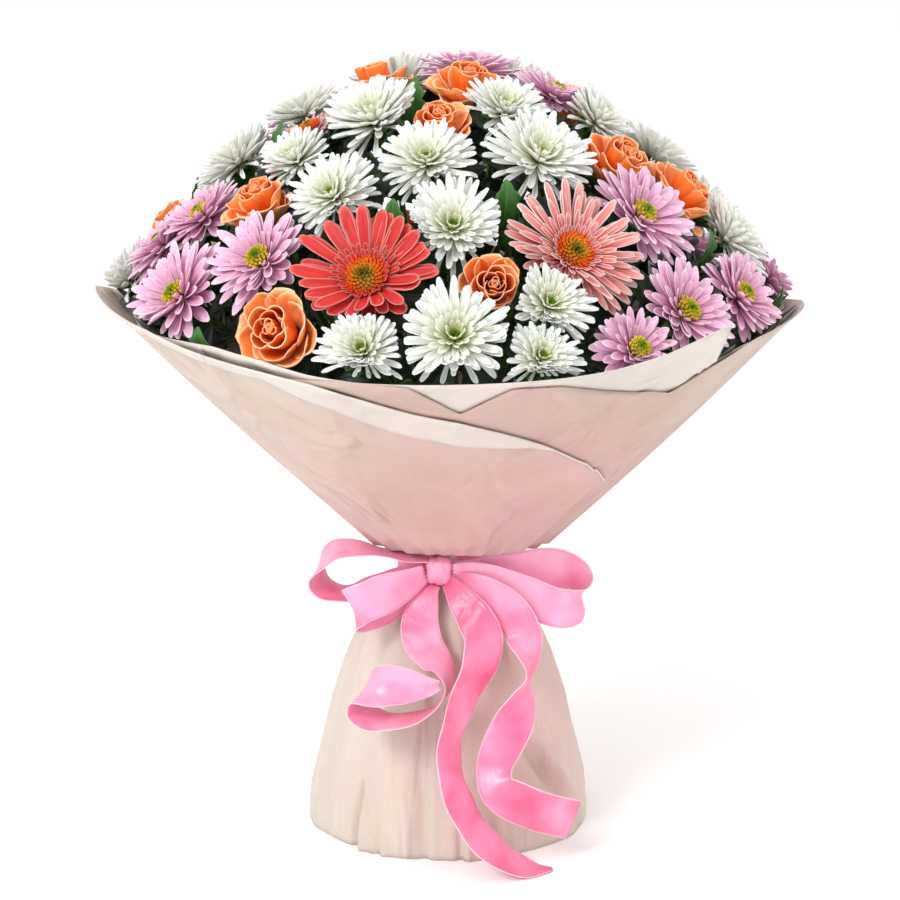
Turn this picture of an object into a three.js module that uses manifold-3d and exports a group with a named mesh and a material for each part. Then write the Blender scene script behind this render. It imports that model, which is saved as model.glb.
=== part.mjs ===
// A hand-tied mixed bouquet that stands on its splayed stems inside a flared paper skirt.
// Millimetres, Z up. The surface that it stands on is z = 0, the binding axis is the Z axis
// and the front of the bouquet faces -Y.
//
// Every stem points at one binding point in the waist. A flower head is placed by its tilt
// from the vertical as seen from that point, and by its angle round from the front, positive
// towards +X. Heads fill a dome. Each keeps to its own cone of space from the binding point,
// so petals are shortened or raised where a neighbour or the paper is in their way.

import * as THREE from "three";
import { mergeVertices } from "three/addons/utils/BufferGeometryUtils.js";
import Module from "manifold-3d";

const wasm = await Module();
wasm.setup();

// ---------------------------------------------------------------- driving dimensions

const DOME_TOP = 540; // height of the topmost petals, and of the whole bouquet
const DOME_RIM = 377; // height of the dome's edge
const DOME_RADIUS = 232;
const HEAD_SINK = 17; // a head's centre lies this far below the dome
const BINDING_HEIGHT = 205;
const NEIGHBOUR_GAP = 0.6; // between the petals of neighbouring heads
const SEAT_GAP = 0.3; // between pieces that rest on each other
const PAPER_CLEARANCE = 4; // petals stay this far above the wrapping paper
const JOIN_OVERLAP = 1.15; // the joining petals of a spray reach this far past their meeting

const STEM_RADIUS = 2.4;
const STEM_SIDES = 4; // of the cut stems that spread below the tie
const STALK_SIDES = 3; // of the hidden stalks above it
const BUNDLE_RADIUS = 22.5; // the bound stems, where the tie holds them
const BUNDLE_SIDES = 12;
const BUNDLE_BOTTOM = 184;
const BUNDLE_TOP = 236;
const FOOT_RADIUS = 58; // how far the cut stems spread on the surface
const FOOT_TWIST = 35; // degrees that the spiral turns between the tie and the surface
const BRANCH_AT = 0.62; // where a spray forks, as a share of the way to its heads
const WIDEST_TILT = 55;

const TIE_HEIGHT = 9;
const TIE_THICKNESS = 2;

const PAPER_THICKNESS = 1.2;
const NECK_BOTTOM = 188;
const NECK_TOP = 206;
const FUNNEL_FOOT = [58, 213]; // radius and height where the funnel spreads from the neck
const FUNNEL_RIM = [230, 366]; // radius and height of its plain rim in front and at the back
const SIDE_RIM = [222, 372]; // and at the sides, where the sheets are drawn up steeper
const FUNNEL_ASIDE = 7; // the funnel stands this far to the right of the neck
const LAYER_PITCH = 3; // between the sheets of the funnel
const NECK_PITCH = 1.8; // between the sheets where they are gathered

const RIBBON_WIDTH = 30;
const RIBBON_THICKNESS = 0.9;
const BAND_BOTTOM = 179;
const BAND_TOP = 201;

// ---------------------------------------------------------------- the flower heads
// Each row is one node: one head, or two of one spray that grow into each other. A head is
// [tilt, angle round, radius, nod]. Nod leans it further out than the dome's own slope.

const HEADS = {
  white_chrysanthemum: [
    [[17, -30, 35, 0]],
    [[25, -48, 25, 0], [30, -28, 28, 4]],
    [[18, -84, 28, -6], [28, -85, 30, -4]],
    [[24, -6, 29, 6], [34, 1, 31, 6]],
    [[15, 26, 28, 4], [24, 27, 34, 4]],
    [[19, 74, 27, 14]],
    [[41, 78, 30, 0]],
    [[49, 1, 35, 4], [51, -13, 27, 0]],
    [[45, 17, 27, 4], [52, 14, 24, 0]],
    [[50, -88, 30, 0]],
    [[29, 104, 32, 0], [40, 107, 31, 0]],
    [[14, 150, 34, 0], [14, -154, 34, 0]],
    [[39, 176, 32, 0], [50, 180, 32, 0]],
    [[50, -134, 32, 0], [50, -152, 32, 0]],
    [[33, -114, 32, 0]],
  ],
  lilac_chrysanthemum: [
    [[42, -77, 28, -4], [36, -67, 28, -6]],
    [[47, -54, 35, 2], [40, -38, 33, 2]],
    [[4, 140, 33, -4]],
    [[13, 78, 27, 4]],
    [[34, 47, 34, 2], [48, 43, 33, 2], [52, 30, 26, 0]],
    [[48, 61, 32, 2]],
    [[51, 94, 31, 0]],
    [[40, 150, 32, 0], [50, 144, 32, 0], [50, 127, 32, 0]],
    [[25, 148, 32, 0]],
    [[39, -138, 32, 0], [28, -142, 31, 0], [22, -122, 30, 0]],
    [[48, -109, 32, 0]],
  ],
  orange_rose: [
    [[32, -49, 25, -16]],
    [[49, -28, 28, 16]],
    [[42, 8, 22, 16]],
    [[17, -3, 23, 4]],
    [[7, 20, 24, 6]],
    [[9, -104, 24, 0]],
    [[26, 56, 27, 6], [33, 73, 29, 6]],
    [[51, 162, 27, 0]],
    [[41, -98, 27, 0]],
    [[51, -169, 27, 0]],
    [[18, 112, 25, 0]],
  ],
  gerbera: [
    [[41, -15, 49, 6]],
    [[38, 25, 48, 6]],
    [[20, -56, 21, 0]],
    [[28, -176, 43, 0]],
  ],
};
// Leaves that fill gaps between heads: [tilt, angle round, length of the leaf].
const SHOOTS = [
  [23, -68, 40],
  [11, -22, 36],
  [53, -41, 42],
  [52, 77, 40],
  [41, 62, 38],
  [36, -95, 42],
  [45, 165, 40],
  [43, -122, 42],
  [23, 124, 40],
  [34, -158, 38],
  [33, -12, 38],
  [30, 14, 36],
  [36, 128, 42],
];

// ---------------------------------------------------------------- materials

const petalMaterial = (color) =>
  new THREE.MeshStandardMaterial({ color, roughness: 0.7, metalness: 0 });
const MATERIAL = {
  white_chrysanthemum: petalMaterial(0xf4f5ee),
  lilac_chrysanthemum: petalMaterial(0xd897c6),
  orange_rose: petalMaterial(0xf59a55),
  gerbera: petalMaterial(0xf4706c),
  gerbera_disc: petalMaterial(0xd9771f),
  green: petalMaterial(0x2f5a26),
  tie: petalMaterial(0xb99c6b),
  liner: new THREE.MeshStandardMaterial({ color: 0xf1ebe0, roughness: 0.9, metalness: 0 }),
  paper: new THREE.MeshStandardMaterial({ color: 0xecd3c6, roughness: 0.9, metalness: 0 }),
  ribbon: new THREE.MeshStandardMaterial({ color: 0xf78fc0, roughness: 0.35, metalness: 0 }),
};

// ---------------------------------------------------------------- solids and meshes

const radians = THREE.MathUtils.degToRad;
const V = (x, y, z) => new THREE.Vector3(x, y, z);

// A closed body from its corner points and the triangles between them.
function body(points, triangles) {
  const geometry = new THREE.BufferGeometry();
  geometry.setAttribute(
    "position",
    new THREE.Float32BufferAttribute(points.flatMap((p) => [p.x, p.y, p.z]), 3),
  );
  geometry.setIndex(triangles.flat());
  return geometry;
}

function solid(geometry) {
  const bare = geometry.clone();
  bare.deleteAttribute("normal");
  bare.deleteAttribute("uv");
  const merged = mergeVertices(bare, 1e-3);
  return new wasm.Manifold(
    new wasm.Mesh({
      numProp: 3,
      vertProperties: new Float32Array(merged.attributes.position.array),
      triVerts: new Uint32Array(merged.index.array),
    }),
  );
}

function geometryOf(manifold) {
  const { numProp, numVert, vertProperties, triVerts } = manifold.getMesh();
  const position = new Float32Array(numVert * 3);
  for (let i = 0; i < numVert; i++)
    position.set(vertProperties.subarray(i * numProp, i * numProp + 3), i * 3);
  const geometry = new THREE.BufferGeometry();
  geometry.setAttribute("position", new THREE.BufferAttribute(position, 3));
  geometry.setIndex(new THREE.BufferAttribute(new Uint32Array(triVerts), 1));
  return geometry.toNonIndexed();
}

const fuse = (geometries) => geometries.map(solid).reduce((all, next) => all.add(next));

function node(name, geometry, material) {
  const shown = geometry.index ? geometry.toNonIndexed() : geometry;
  shown.computeVertexNormals();
  const mesh = new THREE.Mesh(shown, material);
  mesh.name = name;
  return mesh;
}

// ---------------------------------------------------------------- where things are

const BINDING = V(0, 0, BINDING_HEIGHT);

// The direction with that tilt from the vertical and that angle round from the front.
function direction(tilt, round) {
  const [t, a] = [radians(tilt), radians(round)];
  return V(Math.sin(t) * Math.sin(a), -Math.sin(t) * Math.cos(a), Math.cos(t));
}

// How far the dome, sunk by that much, lies from the binding point in one direction.
function domeDistance(tilt, sink) {
  const [s, c] = [Math.sin(radians(tilt)), Math.cos(radians(tilt))];
  const bend = ((DOME_TOP - DOME_RIM) * s * s) / DOME_RADIUS ** 2;
  const height = DOME_TOP - sink - BINDING_HEIGHT;
  return bend < 1e-6 ? height / c : (Math.sqrt(c * c + 4 * bend * height) - c) / (2 * bend);
}

// A head's centre, its axis and the two directions across it.
function placeHead([tilt, round, radius, nod]) {
  const ray = direction(tilt, round);
  const centre = BINDING.clone().addScaledVector(ray, domeDistance(tilt, HEAD_SINK));
  const slope = (2 * (DOME_TOP - DOME_RIM) * Math.hypot(centre.x, centre.y)) / DOME_RADIUS ** 2;
  const lean = THREE.MathUtils.radToDeg(Math.atan(slope)) + nod;
  const axis = direction(lean, round);
  const across = V(Math.cos(radians(round)), Math.sin(radians(round)), 0);
  const along = axis.clone().cross(across);
  return { ray, centre, axis, across, along, radius, tilt, round };
}

// The wall between two heads goes through the binding point and splits the angle between
// them by their radii. Its normal points to the first head.
function wallBetween(a, b) {
  const middle = a.ray.clone().multiplyScalar(b.radius).addScaledVector(b.ray, a.radius).normalize();
  const normal = a.ray.clone().sub(b.ray);
  return normal.addScaledVector(middle, -normal.dot(middle)).normalize();
}

// Radius and height of the funnel's plain rim at an angle round.
function rimAt(round) {
  const side = Math.sin(radians(round)) ** 2;
  return FUNNEL_RIM.map((value, i) => value + side * (SIDE_RIM[i] - value));
}

// Height of the funnel's paper under a point.
function paperHeight(point) {
  const x = point.x - FUNNEL_ASIDE;
  const [r0, z0] = FUNNEL_FOOT;
  const [r1, z1] = rimAt(THREE.MathUtils.radToDeg(Math.atan2(x, -point.y)));
  return z0 + ((Math.hypot(x, point.y) - r0) * (z1 - z0)) / (r1 - r0);
}

function isFree(point, head) {
  const from = point.clone().sub(BINDING);
  if (head.walls.some((normal) => from.dot(normal) < NEIGHBOUR_GAP / 2)) return false;
  return point.z > paperHeight(point) + PAPER_CLEARANCE;
}

// ---------------------------------------------------------------- petals

const TRY_LENGTH = [1, 0.88, 0.76, 0.64, 0.52, 0.4, 0.28, 0.18];
const TRY_RAISED = [0, 10, 20, 30, 40]; // degrees
const LEAST_STEP = 6; // degrees that a petal stands steeper than the two below it
const SECTOR_SHARE = 0.9; // of its sector's width that a petal takes at most

// A head's own frame: out from the axis, sideways round it, and up along it.
function inHead(head, turn, out, side, up) {
  const [c, s] = [Math.cos(turn), Math.sin(turn)];
  return head.centre
    .clone()
    .addScaledVector(head.across, out * c - side * s)
    .addScaledVector(head.along, out * s + side * c)
    .addScaledVector(head.axis, up);
}

// The rounded end of one petal, as long as its head has room for, and at least that steep.
// It is no wider than its sector. It says how long and how steep it came out.
function petalEnd(head, sector, turn, root, petal, leastRise) {
  let made;
  for (const share of TRY_LENGTH)
    for (const more of TRY_RAISED) {
      const steepness = Math.min(Math.max(petal.rise, leastRise) + more, petal.steepest);
      const rise = radians(steepness);
      const length = petal.length * share;
      const reach = root[0] + length * Math.cos(rise);
      const half = Math.min(
        petal.half * (0.4 + 0.6 * share),
        SECTOR_SHARE * reach * Math.tan(sector / 2),
      );
      const at = (along, side) =>
        inHead(
          head, turn,
          root[0] + along * Math.cos(rise), side,
          root[1] + along * Math.sin(rise),
        );
      const ends = [at(length, -half), at(length, half)];
      if (petal.point) ends.splice(1, 0, at(length * (1 + petal.point), 0));
      made = { share, rise: steepness, ends };
      if (ends.every((p) => isFree(p, head))) return made;
    }
  return made;
}

// The petal that goes to the point where a head meets its fellow in the spray.
function joining(head, root, petal) {
  const [out, up] = [head.meets[0] - root[0], head.meets[1] - root[1]];
  const rise = THREE.MathUtils.radToDeg(Math.atan2(up, out));
  return { ...petal, rise, steepest: rise, length: JOIN_OVERLAP * Math.hypot(out, up) };
}

// A head in one skin. Its whorls of petals stand one above the other, each turned by half
// a petal. Rings of [radius, height] lie between them: the petals of a whorl grow out
// between the ring below them and their own.
function rosette(head, count, { foot, under, whorls, crown }) {
  const step = (2 * Math.PI) / count;
  const points = [inHead(head, 0, 0, 0, foot)];
  const faces = [];
  const add = (point) => points.push(point) - 1;
  const addRing = ([r, z], turn) => {
    const first = points.length;
    for (let i = 0; i < count; i++) add(inHead(head, turn + i * step, r, 0, z));
    return (i) => first + (i % count);
  };
  const fan = (tip, edge, up) =>
    edge.slice(1).forEach((p, k) => faces.push(up ? [tip, edge[k], p] : [tip, p, edge[k]]));

  let turn = head.start;
  let below = under;
  let lower = addRing(under, turn);
  for (let i = 0; i < count; i++) faces.push([0, lower(i + 1), lower(i)]);
  let rises = Array(count).fill(-90);
  whorls.forEach((petal, level) => {
    if (level > 0) turn += step / 2;
    const root = [(below[0] + petal.ring[0]) / 2, (below[1] + petal.ring[1]) / 2];
    const petals = Array.from({ length: count }, (_, i) => {
      const least = LEAST_STEP + Math.max(rises[i], rises[(i + 1) % count]);
      const shape = level === 0 && i === 0 && head.meets ? joining(head, root, petal) : petal;
      return petalEnd(head, step, turn + i * step, root, shape, least);
    });
    const notches = petals.map(({ share, rise: own }, i) => {
      const before = petals[(i + count - 1) % count];
      const length = petal.part * petal.length * Math.min(share, before.share);
      const rise = radians((own + before.rise) / 2);
      const [out, up] = [root[0] + length * Math.cos(rise), root[1] + length * Math.sin(rise)];
      return add(inHead(head, turn + (i - 0.5) * step, out, 0, up));
    });
    const edges = petals.map(({ ends }, i) => [
      notches[i], ...ends.map(add), notches[(i + 1) % count],
    ]);
    const upper = addRing(petal.ring, turn);
    edges.forEach((edge, i) => {
      if (level === 0) {
        fan(lower(i), edge, false);
        faces.push([lower(i), lower(i + 1), edge.at(-1)]);
      } else {
        const middle = Math.floor(edge.length / 2);
        fan(lower(i), edge.slice(0, middle + 1), false);
        faces.push([lower(i), lower(i + 1), edge[middle]]);
        fan(lower(i + 1), edge.slice(middle), false);
      }
      fan(upper(i), edge, true);
      faces.push([upper(i), edge.at(-1), upper(i + 1)]);
    });
    [below, lower] = [petal.ring, upper];
    rises = petals.map((p) => p.rise);
  });
  const top = add(inHead(head, 0, 0, 0, crown));
  for (let i = 0; i < count; i++) faces.push([top, lower(i), lower(i + 1)]);
  return body(points, faces);
}

// ---------------------------------------------------------------- the kinds of head

const HEAD_FOOT = { chrysanthemum: -11, rose: -20, gerbera: -9 }; // height of its underside
const CUP_RADIUS = { chrysanthemum: 6, rose: 7, gerbera: 6 };
const kindOf = (name) => name.split("_").pop();

// Narrow petals: the outer ones lie nearly flat and the inner ones stand up round the eye.
function chrysanthemum(head) {
  const r = head.radius;
  return rosette(head, 7, {
    foot: HEAD_FOOT.chrysanthemum,
    under: [0.26 * r, -5],
    whorls: [
      { ring: [0.3 * r, 0], length: 0.74 * r, rise: 5, steepest: 45, half: 0.25 * r, part: 0.6 },
      { ring: [0.22 * r, 4], length: 0.58 * r, rise: 25, steepest: 62, half: 0.19 * r, part: 0.56 },
      { ring: [0.13 * r, 7], length: 0.4 * r, rise: 48, steepest: 80, half: 0.12 * r, part: 0.56 },
    ],
    crown: 8,
  });
}

// Cupped petals that overlap widely, the inner ones closed to a bud.
function rose(head) {
  const r = head.radius;
  return rosette(head, 5, {
    foot: HEAD_FOOT.rose,
    under: [0.46 * r, -15.5],
    whorls: [
      {
        ring: [0.56 * r, -9], length: 0.55 * r, rise: 28, steepest: 60,
        half: 0.4 * r, part: 0.82, point: 0.1,
      },
      {
        ring: [0.42 * r, -5], length: 0.5 * r, rise: 54, steepest: 73,
        half: 0.34 * r, part: 0.84, point: 0.1,
      },
      { ring: [0.27 * r, 0], length: 0.48 * r, rise: 68, steepest: 80, half: 0.2 * r, part: 0.86 },
      { ring: [0.12 * r, 5], length: 0.38 * r, rise: 80, steepest: 86, half: 0.1 * r, part: 0.86 },
    ],
    crown: 9,
  });
}

// Long strap petals in two rings. The disc of small florets is a node of its own.
const DISC_SEAT = 2.5; // height of the flat middle that it sits on
function gerbera(head) {
  const r = head.radius;
  return rosette(head, 16, {
    foot: HEAD_FOOT.gerbera,
    under: [0.2 * r, -4],
    whorls: [
      { ring: [0.26 * r, -1], length: 0.76 * r, rise: 7, steepest: 25, half: 0.12 * r, part: 0.36 },
      {
        ring: [0.22 * r, DISC_SEAT], length: 0.4 * r, rise: 27, steepest: 60,
        half: 0.08 * r, part: 0.4,
      },
    ],
    crown: DISC_SEAT,
  });
}

// A body turned on a head's axis, from [radius, height] points that start and end on it.
function turned(head, sides, profile) {
  const points = profile.map(([r, z]) => new THREE.Vector2(r, z));
  const lathe = new THREE.LatheGeometry(points, sides);
  lathe.rotateX(Math.PI / 2);
  const frame = new THREE.Matrix4().makeBasis(head.across, head.along, head.axis);
  return lathe.applyMatrix4(frame.setPosition(head.centre));
}

// A ring of raised florets round a sunken eye.
function gerberaDisc(head) {
  const foot = DISC_SEAT + SEAT_GAP;
  const r = 0.2 * head.radius;
  return turned(head, 12, [
    [0, foot], [r, foot], [r * 1.02, foot + 2.5], [r * 0.8, foot + 5],
    [r * 0.45, foot + 3], [0, foot + 3.6],
  ]);
}

const BUILD_HEAD = { chrysanthemum, rose, gerbera };

// ---------------------------------------------------------------- stems and leaves

// A tube through those points with a radius at each. Its first end is cut level if asked.
function tube(sides, points, radii, levelStart = false) {
  const rings = points.map((point, i) => {
    const before = points[Math.max(i - 1, 0)];
    const after = points[Math.min(i + 1, points.length - 1)];
    const run = after.clone().sub(before).normalize();
    const first = V(0, 0, 1).cross(run);
    if (first.lengthSq() < 1e-6) first.set(1, 0, 0);
    first.normalize();
    const second = run.clone().cross(first);
    return Array.from({ length: sides }, (_, k) => {
      const turn = (2 * Math.PI * k) / sides;
      const p = point
        .clone()
        .addScaledVector(first, radii[i] * Math.cos(turn))
        .addScaledVector(second, radii[i] * Math.sin(turn));
      if (levelStart && i === 0) p.addScaledVector(run, (point.z - p.z) / run.z);
      return p;
    });
  });
  const faces = [];
  for (let i = 0; i + 1 < rings.length; i++)
    for (let k = 0; k < sides; k++) {
      const [a, b] = [i * sides + k, i * sides + ((k + 1) % sides)];
      faces.push([a, b, b + sides], [a, b + sides, a + sides]);
    }
  const last = (rings.length - 1) * sides;
  for (let k = 1; k + 1 < sides; k++) {
    faces.push([0, k + 1, k]);
    faces.push([last, last + k, last + k + 1]);
  }
  return body(rings.flat(), faces);
}

// A leaf cut into lobes: outline points on both sides of a thicker midrib.
const LEAF_EDGE = [
  [0.14, 0.3], [0.34, 0.9], [0.44, 0.5], [0.68, 1], [0.74, 0.5], [0.88, 0.45],
]; // share of the length, share of the half-width
function leaf(root, run, flat, length, width) {
  const side = run.clone().cross(flat).normalize();
  const at = (along, aside, lift) =>
    root
      .clone()
      .addScaledVector(run, along * length)
      .addScaledVector(side, (aside * width) / 2)
      .addScaledVector(flat, lift - 0.2 * length * along * along);
  const right = LEAF_EDGE.map(([along, aside]) => at(along, aside, 0));
  const left = LEAF_EDGE.map(([along, aside]) => at(along, -aside, 0)).reverse();
  const outline = [at(0, 0, 0), ...right, at(1, 0, 0), ...left];
  const n = outline.length;
  const points = [...outline, at(0.5, 0, 1.6), at(0.5, 0, 0)];
  const faces = outline.flatMap((_, i) => {
    const next = (i + 1) % n;
    return [[i, next, n], [next, i, n + 1]];
  });
  return { points, geometry: body(points, faces) };
}

// Where a stem with that direction passes the tie, and where its cut end stands.
function inBundle(tilt, round, z) {
  const r = (0.85 * BUNDLE_RADIUS * tilt) / WIDEST_TILT;
  return V(r * Math.sin(radians(round)), -r * Math.cos(radians(round)), z);
}
function footOf(tilt, round) {
  const r = (FOOT_RADIUS * tilt) / WIDEST_TILT;
  const turned = radians(round + FOOT_TWIST);
  return V(r * Math.sin(turned), -r * Math.cos(turned), 0);
}

// The bound waist of the bundle, which widens above the tie as the stems part.
function boundWaist() {
  const profile = [
    [0, BUNDLE_BOTTOM], [BUNDLE_RADIUS, BUNDLE_BOTTOM], [BUNDLE_RADIUS, BINDING_HEIGHT + TIE_HEIGHT],
    [BUNDLE_RADIUS + 8, BUNDLE_TOP], [0, BUNDLE_TOP],
  ].map(([r, z]) => new THREE.Vector2(r, z));
  return new THREE.LatheGeometry(profile, BUNDLE_SIDES).rotateX(Math.PI / 2);
}

// The stalk that carries one head, with its green cup under the head.
const CUP_HEIGHT = 9;
function neckOf(head, kind) {
  return head.centre.clone().addScaledVector(head.axis, HEAD_FOOT[kind] - SEAT_GAP - CUP_HEIGHT);
}
function stalk(from, head, kind) {
  const neck = neckOf(head, kind);
  const base = neck.clone().addScaledVector(head.axis, CUP_HEIGHT);
  return tube(STALK_SIDES, [from, neck, base], [STEM_RADIUS, STEM_RADIUS * 0.85, CUP_RADIUS[kind]]);
}

// One stem through the tie for each spray. Its side branches leave the first head's stalk.
function stemsOf(heads, kind) {
  const [first, ...others] = heads;
  const start = inBundle(first.tilt, first.round, BUNDLE_TOP - 6);
  const lower = tube(
    STEM_SIDES,
    [footOf(first.tilt, first.round), inBundle(first.tilt, first.round, BUNDLE_BOTTOM + 4)],
    [STEM_RADIUS, STEM_RADIUS],
    true,
  );
  const fork = start.clone().lerp(neckOf(first, kind), BRANCH_AT);
  return [lower, stalk(start, first, kind), ...others.map((head) => stalk(fork, head, kind))];
}

// A leafy shoot: a thin stem to the dome that ends in a leaf.
function shoot({ tilt, round, length, ray, walls }) {
  const tip = BINDING.clone().addScaledVector(ray, domeDistance(tilt, HEAD_SINK) - 0.6 * length);
  const outwards = V(Math.cos(radians(round)), Math.sin(radians(round)), 0).cross(ray);
  const root = tip.clone().addScaledVector(ray, -3);
  const stem = tube(STALK_SIDES, [inBundle(tilt, round, BUNDLE_TOP - 6), tip], [STEM_RADIUS, 1.5]);
  for (const share of TRY_LENGTH) {
    const blade = leaf(root, ray, outwards, length * share, 0.7 * length * share);
    if (blade.points.slice(2).every((p) => isFree(p, { walls }))) return [stem, blade.geometry];
  }
  return [stem];
}

// ---------------------------------------------------------------- paper and ribbon

// A sheet between two grids of points, rows along it and columns across, closed all round.
function sheet(front, back) {
  const [rows, columns] = [front.length, front[0].length];
  const points = [...front.flat(), ...back.flat()];
  const half = rows * columns;
  const faces = [];
  const quad = (a, b, c, d) => faces.push([a, c, b], [a, d, c]);
  for (let i = 0; i + 1 < rows; i++)
    for (let j = 0; j + 1 < columns; j++) {
      const a = i * columns + j;
      quad(a, a + 1, a + columns + 1, a + columns);
      quad(a + half, a + half + columns, a + half + columns + 1, a + half + 1);
    }
  for (let i = 0; i + 1 < rows; i++) {
    const [a, b] = [i * columns, i * columns + columns - 1];
    quad(a, a + columns, a + half + columns, a + half);
    quad(b, b + half, b + half + columns, b + columns);
  }
  const last = (rows - 1) * columns;
  for (let j = 0; j + 1 < columns; j++) {
    quad(j, j + half, j + half + 1, j + 1);
    quad(last + j, last + j + 1, last + j + half + 1, last + j + half);
  }
  return body(points, faces);
}

// The value at x on a line through [x, value] points, which are in order of x.
function onLine(points, x) {
  const i = Math.max(1, points.findIndex((p) => p[0] >= x));
  const [[x0, y0], [x1, y1]] = x > points.at(-1)[0] ? points.slice(-2) : [points[i - 1], points[i]];
  const t = Math.min(1, Math.max(0, (x - x0) / (x1 - x0)));
  return y0 + t * (y1 - y0);
}

// Angles round from one to the other in even steps.
function stations(from, to, step) {
  return Array.from({ length: Math.round((to - from) / step) + 1 }, (_, i) => from + i * step);
}
// The funnel's columns lie closer at the notch in front and at the corners on both sides.
const COLUMNS = [
  ...stations(-225, -105, 15), -97.5, -90, -82.5, ...stations(-75, -30, 15),
  ...stations(-22.5, 52.5, 7.5), 60, 75, 82.5, 90, 97.5, ...stations(105, 225, 15),
];
const polar = (round, r, z) =>
  V(r * Math.sin(radians(round)), -r * Math.cos(radians(round)), z);

// One sheet of the funnel. Its layer counts outwards, and edge gives how far it goes past
// the plain rim, or falls short of it, at each angle.
function funnelSheet(from, to, layer, edge) {
  const neck = BUNDLE_RADIUS + SEAT_GAP + TIE_THICKNESS + 0.5 + layer * NECK_PITCH;
  const grid = (thickness) =>
    COLUMNS.filter((round) => round >= from && round <= to).map((round) => {
      const out = layer * LAYER_PITCH + thickness;
      const rim = rimAt(round);
      const slant = V(rim[0] - FUNNEL_FOOT[0], 0, rim[1] - FUNNEL_FOOT[1]).normalize();
      const onFunnel = ([r, z], past) =>
        polar(round, r + past * slant.x + out * slant.z, z + past * slant.z - out * slant.x)
          .add(V(FUNNEL_ASIDE, 0, 0));
      return [
        polar(round, neck + thickness, NECK_BOTTOM),
        polar(round, neck + thickness, NECK_TOP - 1.6 * layer - thickness),
        onFunnel(FUNNEL_FOOT, 0),
        onFunnel(rim, onLine(edge, round)),
      ];
    });
  return sheet(grid(PAPER_THICKNESS), grid(0));
}

// Left sheet: lies on top, and its upper edge falls from the left corner across the front.
const LEFT_EDGE = [
  [-217.5, -8], [-180, 4], [-150, -4], [-105, -4], [-97.5, 2], [-90, 14], [-82.5, 25], [-75, 24],
  [-60, 20], [-52.5, 20], [-45, 12], [-30, 5], [-22.5, -1], [-15, -14], [-7.5, -28], [0, -38],
  [7.5, -53], [15, -69], [22.5, -86], [45, -135],
];
// Right sheet: under it at the front, with a notch there, and round the back.
const RIGHT_EDGE = [
  [-75, -16], [-30, -4], [-15, 4], [-7.5, 1], [0, -31], [7.5, -1], [15, -2], [22.5, -13],
  [30, -22], [37.5, -24], [45, -9], [52.5, 8], [60, 14], [75, 12], [82.5, 9], [90, 2],
  [97.5, -4], [105, -2], [150, -2], [180, 8], [217.5, -6],
];
// Liner: shows in the notch, and its own corners stand up between the others.
const LINER_EDGE = [
  [-180, 8], [-150, -2], [-120, 8], [-97.5, 0], [-75, -8], [-60, 2], [-45, 13], [-37.5, 18],
  [-30, 13], [-22.5, 3], [-15, 0], [0, 3], [15, 5], [22.5, 8], [30, 17], [37.5, 36], [45, 12],
  [52.5, 2], [60, -8], [75, -10], [90, -4], [120, 10], [150, 0], [180, 8],
];

// The skirt goes round a little more than once, so that its edges overlap at the seam.
const SKIRT_PROFILE = [
  [0, 100], [40, 97], [87, 87], [143, 69], [160, 56], [178, 30.7], [200, 30.6],
]; // height, radius
const SKIRT_ROWS = [200, 178, 150, 75, 0];
const SKIRT_SEAM = 150; // angle round where it starts
const SKIRT_TURN = 380;
const SKIRT_STATION = 10;
const SKIRT_PLEATS = 9;
const PLEAT_DEPTH = 4.5;
const LAP_PITCH = 2.4; // how far the skirt spirals outwards from its start to its end
function skirt() {
  const grid = (thickness) =>
    stations(0, SKIRT_TURN, SKIRT_STATION).map((along) =>
      SKIRT_ROWS.map((z) => {
        const spread = Math.max(0, 1 - z / SKIRT_ROWS[1]) ** 0.7;
        const pleat = spread * PLEAT_DEPTH * Math.cos(radians(SKIRT_PLEATS * along));
        const lap = ((0.7 + 0.3 * spread) * LAP_PITCH * along) / SKIRT_TURN;
        const r = onLine(SKIRT_PROFILE, z) + lap + pleat + thickness;
        return polar(SKIRT_SEAM + along, r, z);
      }),
    );
  return sheet(grid(0), grid(PAPER_THICKNESS));
}

// A closed ring with a rectangular section round the Z axis.
function ring(inner, outer, bottom, top, segments = 18) {
  const profile = [
    [inner, bottom], [outer, bottom], [outer, top], [inner, top], [inner, bottom],
  ].map(([r, z]) => new THREE.Vector2(r, z));
  return new THREE.LatheGeometry(profile, segments).rotateX(Math.PI / 2);
}

// ---------------------------------------------------------------- the bow

const BAND_INNER = 34.2;
const BAND_OUTER = BAND_INNER + 1.3;
const KNOT_SIZE = V(8.5, 7, 9.5); // half sizes
const KNOT = V(-6, -BAND_OUTER - KNOT_SIZE.y + 0.4, 192.5);

function knot() {
  return new THREE.SphereGeometry(1, 10, 6)
    .scale(KNOT_SIZE.x, KNOT_SIZE.y, KNOT_SIZE.z)
    .translate(KNOT.x, KNOT.y, KNOT.z);
}

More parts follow.
